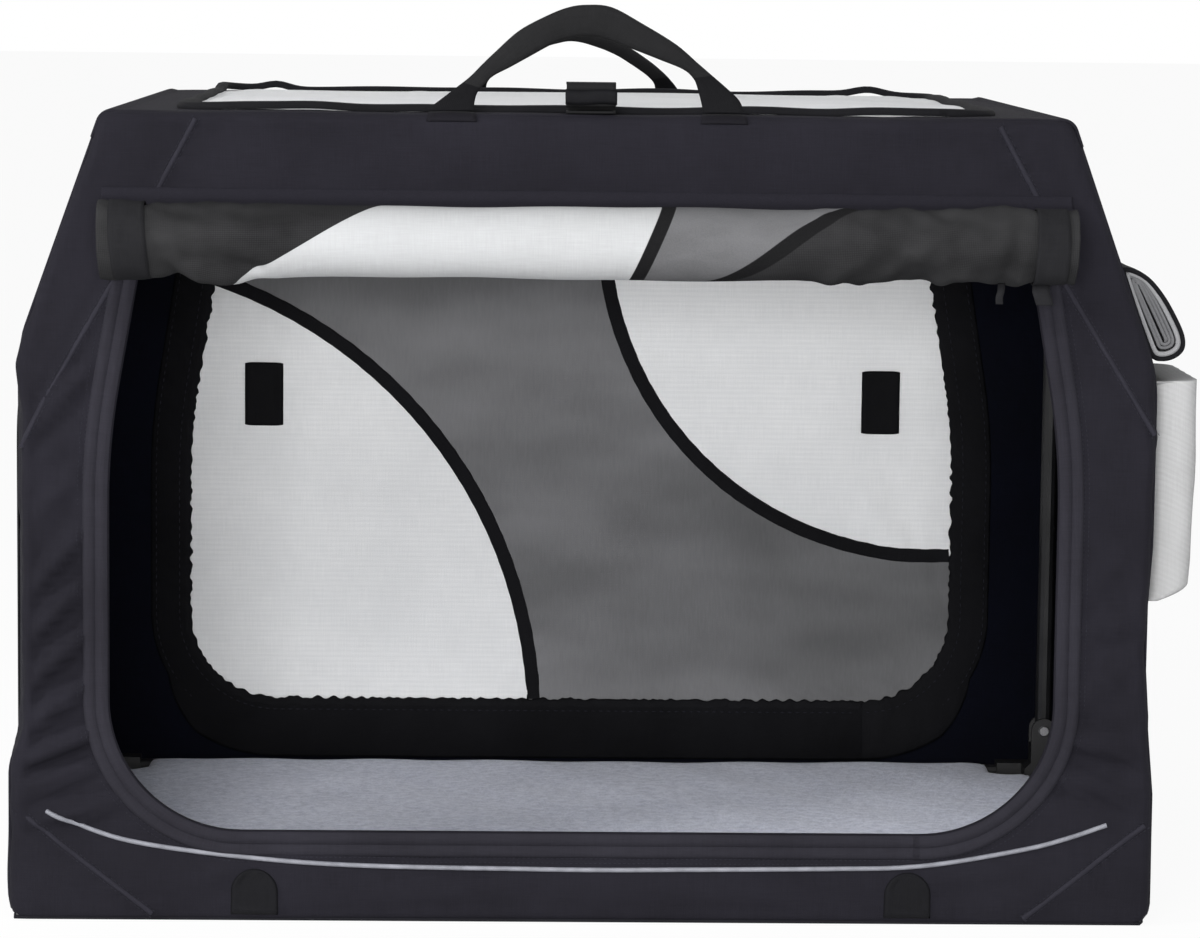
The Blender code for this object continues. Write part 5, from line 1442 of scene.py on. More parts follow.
def roof_cloth():
    """The roof's cloth, which turns down over the end walls' tops."""
    drop = 0.014
    corner = arc(CORNER_X, CORNER_Z, ROOF_ROUND + 0.0016, LEAN_ANGLE, 90, 7)
    foot = (corner[0][0] + drop * LEAN, corner[0][1] - drop)
    right = [foot, (corner[0][0] + drop * LEAN / 2, corner[0][1] - drop / 2)] + corner
    across = [(x, None) for x in np.linspace(CORNER_X - 0.006, -CORNER_X + 0.006, 110)]
    path = right + across + [(-x, z) for x, z in reversed(right)]
    reach = HALF_DEPTH - RIM_ROUND + 0.0035
    edge_places = np.array([0.0, 0.002, 0.005])
    middle = np.linspace(-reach + 0.009, reach - 0.009, 76)
    places = np.concatenate([edge_places - reach, middle, reach - edge_places[::-1]])
    rows = []
    for x, z in path:
        if z is None:
            height = roof_level(np.full(len(places), x), places)
        else:
            height = np.full(len(places), z)
        edge = np.clip(1 - (reach - np.abs(places)) / 0.006, 0, 1)
        out_x = x - np.sign(x) * edge**2 * 0.0014 * (z is not None)
        rows.append(np.column_stack([out_x * np.ones(len(places)), places, height - 0.0014 * edge**2]))
    return cloth_piece("roof_cloth", np.array(rows), UPWARD, charcoal, lining)


roof_cover = roof_cloth()
HATCH_MIDDLE = -0.006
HATCH_OUTLINE = outline_box(0.352, -0.290, 0.290, 0.042)
HATCH_EDGE = 0.2895
BUNCHES = (
    (-0.300, 0.284, 0.016, 0.0050),
    (-0.345, 0.240, 0.030, 0.0036),
    (0.292, 0.284, 0.020, 0.0056),
    (-0.232, -0.296, 0.032, 0.0022),
    (0.243, -0.296, 0.034, 0.0022),
)


def hatch_panel():
    """The hatch's cloth, with a low crown."""
    levels = corner_levels(-HATCH_EDGE, HATCH_EDGE, 66)
    halves = outline_halves(HATCH_OUTLINE, levels)
    x, y = row_panel(halves, levels, 96)
    edge = np.minimum(halves[:, None] - np.abs(x), HATCH_EDGE - np.abs(y))
    soft = np.clip(edge / 0.10, 0, 1)
    lift = 0.0014 + 0.0030 * soft * soft * (3 - 2 * soft)
    lift += 0.0008 * np.sin(x * 120.0 + 2.0 * np.sin(y * 30.0)) * hill(edge - 0.012, 0.010)
    lift += 0.0007 * np.sin(x * 13.0 + 1.0) * np.sin(y * 11.0)
    y = y + HATCH_MIDDLE
    points = np.dstack([x, y, roof_level(x, y) + lift])
    return cloth_piece("roof_hatch_cloth", points, UPWARD, hatch_white, thick=0.0012)


hatch = hatch_panel()
hatch_line = even_line(HATCH_OUTLINE, LINE_STEP, closed=True) + np.array([0.0, HATCH_MIDDLE])
x, y = hatch_line.T
bunch = sum(rise * hill(np.hypot(x - spot_x, y - spot_y), spread) for spot_x, spot_y, spread, rise in BUNCHES)
waver = 0.0007 * np.sin(x * 43.0 + y * 37.0)
hatch_points = np.column_stack([x, y, roof_level(x, y) + 0.0010 + bunch + waver])
binding_section = mirrored([(0.0052, -0.0012), (0.0058, 0.0016), (0.0038, 0.0044)], (0.0, 0.0054))
hatch_binding = sweep(
    "roof_hatch_binding", hatch_points, UPWARD, binding_section, binding_cloth, closed=True
)
print("roof:", roof_cover.name, hatch.name, hatch_binding.name)

# %% [markdown]
# A keeper strap is folded up into a small block at the front of the roof. It is one long strip of webbing
# that goes back and forth. A black strip across the middle of its front face is painted shade, where
# that face lies in shadow.

# %% The folded strap
STRAP_X = 0.0020
STRAP_HALF = 0.0212


def strap_block():
    """Five layers of webbing that lie on each other, each bend round, seen from the end as a folded strip."""
    section = []
    low = roof_level(STRAP_X, -0.31) + 0.0006
    front, rear, step = -0.3245, -0.3030, 0.0061
    for layer in range(5):
        z = low + 0.0013 + layer * step
        line = [(front, z), ((front + rear) / 2, z + 0.0003), (rear, z)]
        if layer % 2:
            line.reverse()
        section += line
        if layer < 4:
            bend_y = rear if layer % 2 == 0 else front
            way = 1 if layer % 2 == 0 else -1
            for angle in (-50, 0, 50):
                turned = math.radians(angle)
                bend_z = z + step / 2 + step / 2 * math.sin(turned)
                section.append((bend_y + way * 0.0024 * math.cos(turned), bend_z))
    section = smooth_line(section, 3)
    rows = []
    for x in np.linspace(-STRAP_HALF, STRAP_HALF, 13):
        rows.append(np.column_stack([np.full(len(section), STRAP_X + x), section[:, 0], section[:, 1]]))
    return cloth_piece(
        "roof_strap_webbing", np.array(rows), OUT_FRONT, strap_cloth, thick=0.0022, offset=0.0
    )


strap = strap_block()


def strap_front_shade():
    """A black strip across the block's front face: painted shade, where that face lies in shadow."""
    low = roof_level(STRAP_X, -0.31)
    section = [(-0.3272, 0.0085), (-0.3296, 0.0120), (-0.3292, 0.0185), (-0.3272, 0.0215)]
    rows = []
    for x in np.linspace(-STRAP_HALF - 0.0010, STRAP_HALF + 0.0010, 15):
        sway = 0.0006 * math.sin(x * 160.0)
        rows.append([(STRAP_X + x, y - 0.0004, low + up + sway) for y, up in section])
    return cloth_piece("roof_strap_front_shade", np.array(rows), OUT_FRONT, binding_cloth, thick=0.0012)


band = strap_front_shade()
print("strap block:", strap.name)

# %% [markdown]
# The front handle stands up in a rounded triangle. Its legs are broad webbing, its grip a padded sleeve
# that twists as it climbs, so that it looks narrow halfway up and broad at the top. Pairs of points give
# its outer and its inner edge; a rounded section of changing thickness runs between them.

# %% The handles
FRONT_HANDLE = (
    ((-132.6, 0.0), (-92.8, 0.0), 3.6),
    ((-121.5, 8.5), (-92.2, 7.5), 3.8),
    ((-108.5, 18.5), (-89.8, 15.0), 4.4),
    ((-96.5, 28.1), (-84.0, 22.0), 6.5),
    ((-86.0, 38.8), (-75.8, 29.3), 8.0),
    ((-75.0, 49.5), (-63.0, 36.0), 8.6),
    ((-55.4, 67.3), (-46.0, 45.5), 9.2),
    ((-33.7, 79.5), (-24.1, 57.5), 9.6),
    ((-14.4, 87.6), (-8.0, 62.1), 9.8),
    ((2.4, 90.3), (3.0, 63.1), 9.8),
    ((24.1, 88.5), (16.0, 62.0), 9.8),
    ((50.6, 74.7), (38.0, 54.5), 9.4),
    ((79.5, 57.5), (66.0, 44.0), 8.8),
    ((98.0, 42.0), (86.0, 36.0), 8.0),
    ((112.0, 30.2), (95.0, 28.0), 5.5),
    ((122.9, 21.0), (98.5, 19.5), 4.2),
    ((134.0, 10.5), (101.2, 9.5), 3.8),
    ((138.6, 0.0), (103.5, 0.0), 3.6),
)
REAR_HALF = (
    ((-110.0, 0.0), (-86.0, 0.0), 3.6),
    ((-103.0, 11.0), (-84.0, 9.5), 4.0),
    ((-93.0, 23.0), (-77.0, 19.5), 6.0),
    ((-76.0, 39.0), (-64.0, 31.0), 7.6),
    ((-52.0, 57.0), (-43.0, 46.5), 8.0),
    ((-24.0, 71.0), (-19.0, 57.5), 8.4),
)
OTHER_HALF = tuple(((-outer[0], outer[1]), (-inner[0], inner[1]), thick) for outer, inner, thick in REAR_HALF)
REAR_HANDLE = REAR_HALF + (((0.0, 76.0), (0.0, 62.0), 8.6),) + OTHER_HALF[::-1]
handle_finish = woven("handle_webbing", shade("101011"), shade("222223"), 0.0016, 0.78)
handle_rest = handle_finish.stored("cloth")
leg_share = handle_finish.parts(handle_rest)[2]
handle_tone = handle_finish.colour()
handle_grain = handle_finish.noise(handle_rest, 300.0, 3.0)
handle_dark = handle_finish.mix(handle_grain, shade("08080a"), shade("111113"))
handle_finish.surface(Base_Color=handle_finish.mix(leg_share.step(0.45, 0.55), handle_tone, handle_dark))


def handle(name, pairs, place):
    """A handle from pairs of outer and inner points, in millimetres, with a thickness for each pair. place
    puts a point of it, by its x, its depth and its height, into the crate's space."""
    outer = smooth_line([pair[0] for pair in pairs], 5) / 1000
    inner = smooth_line([pair[1] for pair in pairs], 5) / 1000
    thick = smooth_line([(pair[2], 0.0) for pair in pairs], 5)[:, 0] / 1000
    sides = 14
    rows = []
    cloth = []
    run = 0.0
    for index in range(len(outer)):
        middle = (outer[index] + inner[index]) / 2
        half = (outer[index] - inner[index]) / 2
        if index:
            run += float(np.linalg.norm(middle - before))
        before = middle
        ring = []
        ring_cloth = []
        for side in range(sides):
            angle = math.tau * side / sides
            across = math.copysign(abs(math.cos(angle)) ** 0.55, math.cos(angle))
            deep = math.copysign(abs(math.sin(angle)) ** 0.75, math.sin(angle))
            wrinkle = 1 + 0.05 * math.sin(run * 300.0) * (thick[index] > 0.006)
            spot = middle + half * across
            ring.append(place(spot[0], deep * thick[index] / 2 * wrinkle, spot[1]))
            leg = 1.0 if thick[index] < 0.0056 else 0.0
            ring_cloth.append((run, across * 0.015, leg))
        rows.append(ring)
        cloth.append(ring_cloth)
    count = len(rows)
    points = np.array(rows).reshape(-1, 3)
    faces = grid_faces(count, sides, False, True)
    faces.append(tuple(range(sides))[::-1])
    faces.append(tuple(range((count - 1) * sides, count * sides)))
    made = mesh_object(name, points, faces, cloth, [handle_finish.material])
    turn_outward(made)
    made.data.set_sharp_from_angle(angle=math.radians(50))
    return made


REAR_LEAN = math.radians(35.0)
PIVOT_Z = 0.7080
HANDLE_SHIFT = -0.0055


def front_place(x, depth, height):
    """The front handle stands up and bows back a little."""
    bow = 0.004 * math.sin(min(max(height / 0.09, 0), 1) * math.pi)
    return (x + HANDLE_SHIFT, -0.331 + depth + bow, PIVOT_Z + height)


def rear_place(x, depth, height):
    """The rear handle leans back."""
    y = 0.3310 - height * math.sin(REAR_LEAN) + depth * math.cos(REAR_LEAN)
    return (x + HANDLE_SHIFT, y, PIVOT_Z + height * math.cos(REAR_LEAN) + depth * math.sin(REAR_LEAN))


front_handle = handle("front_handle_grip", FRONT_HANDLE, front_place)
rear_handle = handle("rear_handle_grip", REAR_HANDLE, rear_place)


def handle_foot(name, low_x, high_x, wall, outward):
    """The sewn end of a handle's leg, lying over the crate's top edge."""
    section = []
    for angle in (22, 36, 50, 64, 77, 90):
        turned = math.radians(angle)
        radius = RIM_ROUND + 0.0016
        y = wall - outward * (RIM_ROUND - radius * math.cos(turned))
        z = ROOF - RIM_ROUND + radius * math.sin(turned)
        section.append((y, z))
    section.append((section[-1][0] - outward * 0.006, ROOF + 0.0016))
    section = np.array(section)
    spread = np.array([1.10 - 0.10 * min(index / 4, 1) for index in range(len(section))])
    middle = (low_x + high_x) / 2
    rows = []
    for share in np.linspace(0, 1, 11):
        x = middle + (share - 0.5) * (high_x - low_x) * spread
        dome = 0.0005 * math.sin(share * math.pi)
        rows.append(np.column_stack([x, section[:, 0] + outward * dome, section[:, 1] + dome]))
    return cloth_piece(name, np.array(rows), (0, outward, 1), foot_webbing, thick=0.0022)


foot_webbing = woven("handle_foot_webbing", shade("0c0b0f"), shade("1a191e"), 0.0016, 0.78).material
handle_feet = [
    handle_foot("front_handle_foot_left", -0.1370, -0.0975, FRONT, -1.0),
    handle_foot("front_handle_foot_right", 0.0975, 0.1345, FRONT, -1.0),
    handle_foot("rear_handle_foot_left", -0.1165, -0.0905, REAR, 1.0),
    handle_foot("rear_handle_foot_right", 0.0795, 0.1055, REAR, 1.0),
]
print("handles:", front_handle.name, rear_handle.name, [item.name for item in handle_feet])

# %% [markdown]
# The front door is open: rolled up and held by two ties. It is one cloth. From the wall it runs over the
# top of the roll, round the front, and on inward in ever tighter turns, which show at the two ends. Its
# colours are the rear door's over again: mesh, a light field, grey, and dark pipings, all cut slantwise by
# the rolling. `turned` is the angle round the roll, 0 at its front, so an arc on the flat cloth is a sine
# curve here. Thin mesh wrinkles, so both mesh ends get long slanting folds.

# %% The rolled front door
ROLL_Y = -0.3701
ROLL_Z = 0.5970
ROLL_R = 0.0315
ROLL_HALF = 0.4160
ROLL_TURNS = 3.4
RIGHT_CREASES = (
    ((0.262, -0.010), (0.284, -0.040), -0.0052, 0.013),
    ((0.312, 0.004), (0.330, -0.018), -0.0034, 0.012),
    ((0.286, 0.044), (0.304, 0.030), -0.0030, 0.008),
    ((0.205, -0.040), (0.262, 0.026), 0.0026, 0.010),
    ((0.235, -0.046), (0.300, 0.016), 0.0026, 0.010),
    ((0.300, -0.044), (0.356, 0.004), 0.0028, 0.010),
    ((0.330, 0.010), (0.372, 0.034), 0.0022, 0.010),
    ((0.240, 0.036), (0.350, 0.044), 0.0022, 0.009),
    ((0.352, -0.040), (0.370, 0.030), -0.0022, 0.007),
)
LEFT_CREASES = (
    ((-0.362, -0.014), (-0.350, -0.046), -0.0050, 0.012),
    ((-0.336, -0.014), (-0.286, -0.026), -0.0036, 0.010),
    ((-0.350, 0.010), (-0.262, 0.008), 0.0022, 0.009),
    ((-0.352, 0.030), (-0.246, 0.026), -0.0016, 0.008),
    ((-0.346, -0.034), (-0.300, -0.048), 0.0026, 0.009),
    ((-0.366, 0.036), (-0.370, -0.030), -0.0020, 0.006),
)
TIE_GRIPS = (-0.3885, 0.3930)


def roll_relief(x, arc_length, turned):
    """How far the roll's outer turn stands out or sinks in."""
    total = np.zeros(np.shape(x))
    for start, end, height, width in RIGHT_CREASES + LEFT_CREASES:
        distance, _ = line_distance(x, arc_length, [start, end])
        total += 1.3 * height * hill(distance, width)
    left_mesh = 1 / (1 + np.exp((x + 0.285) / 0.016))
    right_mesh = 1 / (1 + np.exp((0.195 - x) / 0.016))
    loose = left_mesh + right_mesh
    total += loose * 0.0009 * np.sin(x * 210.0 + arc_length * 120.0) * np.sin(x * 67.0 - arc_length * 150.0)
    total += loose * 0.0010 * np.sin(x * 83.0 + turned * 2.3)
    total += 0.0007 * np.sin(x * 17.0 + 0.6) + 0.0004 * np.sin(x * 49.0) * np.cos(turned * 2)
    total += left_mesh * 0.0034 * hill(turned + 1.5, 0.7) + right_mesh * 0.0012 * hill(turned - 1.45, 0.5)
    for grip in TIE_GRIPS:
        total -= 0.0016 * hill(x - grip, 0.016)
        total += 0.0012 * hill(np.abs(x - grip) - 0.024, 0.007)
    return total


def rolled_door():
    """The door's cloth: a hem on the wall, and then a spiral that winds inward."""
    start = math.radians(72.0)
    turns = np.linspace(start, start + math.tau * ROLL_TURNS, 190)
    spiral_r = ROLL_R - 0.0009 - np.maximum(turns - start - math.radians(250.0), 0) * 0.00134
    edge_places = np.array([ROLL_HALF, ROLL_HALF - 0.0015])
    x_places = np.concatenate([-edge_places, np.linspace(-0.412, 0.412, 300), edge_places[::-1]])
    hem = [(-0.3362, 0.6392), (-0.3366, 0.6368), (-0.3378, 0.6340), (-0.3402, 0.6312), (-0.3440, 0.6291)]
    rows = []
    cloth = []
    run = 0.0
    for index in range(len(hem) + len(turns)):
        if index < len(hem):
            y, z = hem[index]
            row = np.column_stack([x_places, np.full(len(x_places), y), np.full(len(x_places), z)])
            row[:, 1] -= 0.0006 * np.sin(x_places * 61.0) * (index / len(hem))
            turned = np.full(len(x_places), math.pi / 2 + 0.25)
        else:
            turn = turns[index - len(hem)]
            outer = np.clip(1 - (turn - start - math.radians(240)) / math.radians(50), 0, 1)
            turned = np.full(len(x_places), math.pi - turn)
            lift = roll_relief(x_places, ROLL_R * turned, turned) * outer
            lift -= 0.0006 * (1 - outer)
            radius = spiral_r[index - len(hem)] + lift
            shown = min(max((turn - start) / math.tau, 0), ROLL_TURNS)
            ends = 1 - (0.0034 * math.sin(shown * 2.1) ** 2 + 0.0012 * shown) / ROLL_HALF
            row = np.column_stack(
                [x_places * ends, ROLL_Y + radius * math.cos(turn), ROLL_Z + radius * math.sin(turn)]
            )
        run += 0.0 if not rows else float(np.linalg.norm(row[150] - rows[-1][150]))
        rows.append(row)
        cloth.append(np.column_stack([x_places, np.full(len(x_places), run), turned]))
    cloth = np.array(cloth)
    return cloth_piece(
        "front_door_rolled", np.array(rows), UPWARD, roll_finish.material, thick=0.0020, cloth=cloth
    )


roll_finish = woven("rolled_door_cloth", shade("989999"), shade("adaeb0"))
roll_cloth = roll_finish.stored("cloth")
roll_rest = roll_finish.stored("rest")
roll_x, roll_run, roll_turned = roll_finish.parts(roll_cloth)
roll_light = roll_finish.colour()
roll_noise = roll_finish.noise(roll_finish.stretch(roll_rest, (1.0, 1.0, 3.0)), 9.0, 3.0)
roll_grain = roll_finish.noise(roll_rest, 900.0, 2.0)
grey_mask = (roll_noise * 0.8 + roll_grain * 0.3).step(0.2, 0.9)
roll_grey = roll_finish.mix(grey_mask, shade("484849"), shade("626264"))
mesh_turns = math.tau / 0.0030
mesh_dots = ((roll_x * mesh_turns).sine() * (roll_run * mesh_turns).sine()).size()
mesh_tone = mesh_dots * 0.35 + roll_noise * 0.7 + roll_grain * 0.2
roll_mesh = roll_finish.mix(mesh_tone.step(0.2, 0.85), shade("0b0b0c"), shade("2b2b2c"))
roll_black = roll_finish.mix(roll_grain, shade("0b0b0c"), shade("171718"))
rise = roll_turned.sine()
light_edge = roll_turned * 0.022 + rise * 0.030 - 0.2405
first_piping = roll_x - (rise * 0.0136 + 0.0545)
second_piping = roll_x - (roll_turned * 0.040 + 0.166)
soft = 0.0004
is_light = (roll_x - light_edge).step(-soft, soft)
is_first = (first_piping.size() * -1.0 + 0.0062).step(-soft, soft)
is_grey = first_piping.step(-soft, soft)
is_second = (second_piping.size() * -1.0 + 0.0105).step(-soft * 2, soft * 2)
is_mesh = second_piping.step(-soft, soft)
colour = roll_finish.mix(is_light, roll_mesh, roll_light)
colour = roll_finish.mix(is_grey, colour, roll_grey)
colour = roll_finish.mix(is_mesh, colour, roll_mesh)
colour = roll_finish.mix(is_first.larger(is_second), colour, roll_black)
hem_part = (roll_turned - 1.66).step(-0.02, 0.02)
inner_turns = (roll_turned * -1.0 - 2.6).step(-0.02, 0.02)
colour = roll_finish.mix(inner_turns, colour, roll_black)
colour = roll_finish.mix(hem_part, colour, roll_finish.mix(roll_grain, shade("121116"), shade("232229")))
roll_finish.surface(Base_Color=colour)
rolled = rolled_door()
print("rolled door:", len(rolled.data.vertices), "points")

# %% The ties round the roll
tie_cloth = woven("tie_cloth", shade("111113"), shade("252527"), 0.0016, 0.85).material


def tie(name, middle, half, lean):
    """A tie wrapped round the roll, pressed into it."""
    turns = np.linspace(math.radians(58), math.radians(58 + 360), 64)
    across = np.linspace(-half, half, 9)
    rows = []
    for turn in turns:
        turned = math.pi - turn
        press = roll_relief(np.full(9, middle) + across, np.full(9, ROLL_R * turned), np.full(9, turned))
        behind = 0.0010 * (math.cos(turn) > 0.6)
        radius = ROLL_R + 0.0012 + 0.55 * press + 0.0005 * np.cos(across / half * math.pi / 2) - behind
        radius += 0.0004 * math.sin(turn * 5.0)
        x = middle + across * (1 - 0.05 * math.sin(turn) ** 2) + lean * math.sin(turned)
        rows.append(np.column_stack([x, ROLL_Y + radius * math.cos(turn), ROLL_Z + radius * math.sin(turn)]))
    return cloth_piece(name, np.array(rows), UPWARD, tie_cloth, thick=0.0014)


tie_left = tie("front_roll_tie_left_strap", TIE_GRIPS[0], 0.0158, -0.0026)
tie_right = tie("front_roll_tie_right_strap", TIE_GRIPS[1], 0.0140, 0.0010)


def tie_tail(name, places, half, thick):
    """The loose end of a tie, hanging under the roll."""
    across = np.linspace(-half, half, 5)
    rows = []
    for x, y, z in smooth_line(places, 6):
        rows.append(np.column_stack([x + across, y - 0.0006 * np.cos(across / half * 1.4), np.full(5, z)]))
    return cloth_piece(name, np.array(rows), OUT_FRONT, tie_cloth, thick=thick)


BROAD_TAIL = ((0.3860, -0.3760, 0.5668), (0.3850, -0.3820, 0.5612), (0.3862, -0.3840, 0.5560))
BROAD_TAIL += ((0.3885, -0.3832, 0.5488),)
THIN_TAIL = ((0.3520, -0.3750, 0.5668), (0.3512, -0.3792, 0.5605), (0.3498, -0.3800, 0.5550))
THIN_TAIL += ((0.3502, -0.3790, 0.5492),)
tail_right = tie_tail("front_roll_tie_right_tail", BROAD_TAIL, 0.0075, 0.0014)
tail_thin = tie_tail("front_roll_tie_right_cord_end", THIN_TAIL, 0.0032, 0.0012)
print("ties:", tie_left.name, tie_right.name, tail_right.name, tail_thin.name)

# %% [markdown]
# The floor is a thin board in cloth with a fleece mat on it. The mat is stuffed, so it is inflated by a
# cloth simulation from a slightly smaller shape: the pressure rounds its sides, and the cap on how far a
# point may move keeps it within its place. Its corners are cut out where the hinge brackets stand.

# %% The floor board and the mat
MAT_LOW, MAT_HIGH = (tuple(corner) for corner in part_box("fleece_mat"))
PUFF_FRAMES = 20
PUFF_LIMIT = 0.0042


def closed_piece(name, shape, look):
    """An object from a closed shape, its faces turned outward."""
    bmesh.ops.recalc_face_normals(shape, faces=shape.faces)
    mesh = bpy.data.meshes.new(name)
    shape.to_mesh(mesh)
    shape.free()
    mesh.materials.append(look)
    made = bpy.data.objects.new(name, mesh)
    scene.collection.objects.link(made)
    return made


def slab(name, outline, low, high, round_off, look, spacing):
    """A flat pad with rounded edges from its outline: rings of points, and a cap above and below."""
    line = even_line(outline, spacing, closed=True)
    ahead = units(np.roll(line, -1, axis=0) - np.roll(line, 1, axis=0))
    inward = np.column_stack([-ahead[:, 1], ahead[:, 0]])
    made = bmesh.new()
    rings = []
    levels = [(math.pi * 0.5 * (1 - step / 5), high, 1) for step in range(6)]
    levels += [(math.pi * 0.5 * step / 5, low, -1) for step in range(6)]
    for angle, z, way in levels:
        inset = round_off * (1 - math.cos(angle))
        height = z - way * round_off * (1 - math.sin(angle))
        place = line + inward * inset
        rings.append([made.verts.new((x, y, height)) for x, y in place])
    for first, second in zip(rings, rings[1:]):
        for index in range(len(line)):
            after = (index + 1) % len(line)
            made.faces.new((first[index], first[after], second[after], second[index]))
    made.faces.new(rings[0])
    made.faces.new(rings[-1][::-1])
    pad = closed_piece(name, made, look)
    pad.data.shade_smooth()
    return pad


def notched(half_x, half_y, notch_x, notch_y, corner):
    """A rectangle with its four corners cut out, every bend rounded a little."""
    right = arc(half_x - notch_x - corner, -half_y + corner, corner, -90, 0, 4)
    right += [(half_x - notch_x, -half_y + notch_y - corner)]
    right += [(half_x - notch_x + corner, -half_y + notch_y)]
    right += arc(half_x - corner, -half_y + notch_y + corner, corner, -90, 0, 4)
    right += arc(half_x - corner, half_y - notch_y - corner, corner, 0, 90, 4)
    right += [(half_x - notch_x + corner, half_y - notch_y)]
    right += [(half_x - notch_x, half_y - notch_y + corner)]
    right += arc(half_x - notch_x - corner, half_y - corner, corner, 0, 90, 4)
    return mirror_line(right)


def point_places(piece):
    """Where the points of a piece's mesh are."""
    places = np.empty(len(piece.data.vertices) * 3, np.float32)
    piece.data.vertices.foreach_get("co", places)
    return places.reshape(-1, 3)


def move_points(piece, places):
    """Puts the points of a piece's mesh where places says."""
    piece.data.vertices.foreach_set("co", places.astype(np.float32).ravel())
    piece.data.update()


def keep_rest(piece):
    """Stores where each point is at rest, for finishes that must not slide."""
    for label in ("rest", "cloth"):
        store = piece.data.attributes.new(label, "FLOAT_VECTOR", "POINT")
        store.data.foreach_set("vector", point_places(piece).ravel())


def apply_modifiers(piece):
    """Bakes a piece's modifiers into its mesh."""
    view = bpy.context.evaluated_depsgraph_get()
    baked = bpy.data.meshes.new_from_object(piece.evaluated_get(view))
    piece.modifiers.clear()
    piece.data = baked


mat_line = notched(MAT_HIGH[0] - 0.004, MAT_HIGH[1] - 0.003, 0.042, 0.060, 0.010)
mat = slab("fleece_mat_pad", mat_line, MAT_LOW[2] + 0.0022, MAT_HIGH[2] - 0.0036, 0.0085, fleece, 0.010)
remesh = mat.modifiers.new("even", "REMESH")
remesh.mode = "VOXEL"
remesh.voxel_size = 0.006
apply_modifiers(mat)
before = point_places(mat)
puff = mat.modifiers.new("puff", "CLOTH")
puff.settings.use_pressure = True
puff.settings.uniform_pressure_force = 4.0
puff.settings.quality = 4
puff.settings.effector_weights.gravity = 0.0
puff.settings.tension_stiffness = 15.0
puff.point_cache.frame_start = 1
puff.point_cache.frame_end = PUFF_FRAMES
for step in range(1, PUFF_FRAMES + 1):
    scene.frame_set(step)
apply_modifiers(mat)
scene.frame_set(1)
moved = point_places(mat) - before
reach = np.linalg.norm(moved, axis=1)[:, None]
moved *= np.minimum(1.0, PUFF_LIMIT / np.maximum(reach, 1e-9))
move_points(mat, before + moved)
places = point_places(mat)
x, y, z = places.T
top = np.clip((z - 0.016) / 0.006, 0, 1)
press = 0.0012 * np.sin(x * 14.0 + 0.5) * np.sin(y * 12.0) + 0.0006 * np.sin(x * 51.0 + y * 40.0)
bend = 0.0014 * np.sin(y * 9.0 + 0.8) * hill(x - 0.10, 0.10)
places[:, 2] += top * (press + bend) - 0.0008 * top
places[:, 2] = np.clip(places[:, 2], MAT_LOW[2] + 0.0004, MAT_HIGH[2] + 0.0022)
move_points(mat, places)
mat.data.shade_smooth()
keep_rest(mat)
board_low, board_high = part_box("floor_panel")
board_line = outline_box(board_high.x + 0.0030, -board_high.y - 0.0004, board_high.y + 0.0004, 0.004)
board = slab("floor_board", board_line, board_low.z, board_high.z, 0.0012, board_cloth, 0.012)
keep_rest(board)
print("mat:", len(mat.data.vertices), "points; board:", len(board.data.vertices), "points")

# %% [markdown]
# Three zip sliders move by themselves. Each has a flat body over the zip's coil, a bridge on it and a pull
# tab with a slot, and takes its place and its size from the solid that it stands for.

# %% The zip sliders
# Start and end along the zip, half-width, bottom, top and middle across it, as shares of the slider's size:
# the body, its bridge, the tab's eye, and the tab's two sides and two ends.
SLIDER_BLOCKS = (
    (0.00, 0.46, 0.50, 0.00, 0.72, 0.0),
    (0.10, 0.40, 0.20, 0.72, 1.00, 0.0),
    (0.36, 0.56, 0.16, 0.30, 0.62, 0.0),
    (0.52, 1.00, 0.12, 0.22, 0.55, -0.26),
    (0.52, 1.00, 0.12, 0.22, 0.55, 0.26),
    (0.52, 0.60, 0.38, 0.22, 0.55, 0.0),
    (0.90, 1.00, 0.38, 0.22, 0.55, 0.0),
)
SLIDER_BEVEL = 0.0006


def zip_slider(name, node, upward, tab_way):
    """A slider: body, bridge and tab. upward points away from the cloth, tab_way along the zip to the tab."""
    low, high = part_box(node)
    along = Vector((tab_way, 0, 0))
    up = Vector(upward)
    aside = along.cross(up)
    size = high - low
    long = abs(size.dot(along))
    wide = abs(size.dot(aside))
    tall = abs(size.dot(up))
    foot = (low + high) / 2 - up * tall / 2 - along * long / 2
    made = bmesh.new()
    box_sides = [(0, 1, 2, 3), (7, 6, 5, 4)] + grid_faces(2, 4, False, True)
    for start, end, half, bottom, top, middle in SLIDER_BLOCKS:
        corners = []
        for height, inset in ((bottom, 0.0), (top, SLIDER_BEVEL)):
            near, far = start * long + inset, end * long - inset
            for run, side in ((near, 1), (far, 1), (far, -1), (near, -1)):
                across = middle * wide + side * (half * wide - inset)
                corners.append(made.verts.new(foot + along * run + aside * across + up * height * tall))
        for side in box_sides:
            made.faces.new([corners[place] for place in side])
    slider = closed_piece(name, made, slider_metal)
    rounded = slider.modifiers.new("rounded", "BEVEL")
    rounded.width = 0.0004
    rounded.segments = 2
    apply_modifiers(slider)
    slider.data.set_sharp_from_angle(angle=math.radians(40))
    return slider


sliders = [
    zip_slider("rear_zip_slider_left_body", "rear_zip_slider_left", (0, 1, 0), -1),
    zip_slider("rear_zip_slider_right_body", "rear_zip_slider_right", (0, 1, 0), 1),
    zip_slider("roof_zip_slider_body", "roof_zip_slider", (0, 0, 1), 1),
]
print("sliders:", [item.name for item in sliders])

# %% Which piece stands for which solids
REAR_FIELDS = ("rear_door_low_field", "rear_door_high_field", "rear_door_middle_field")
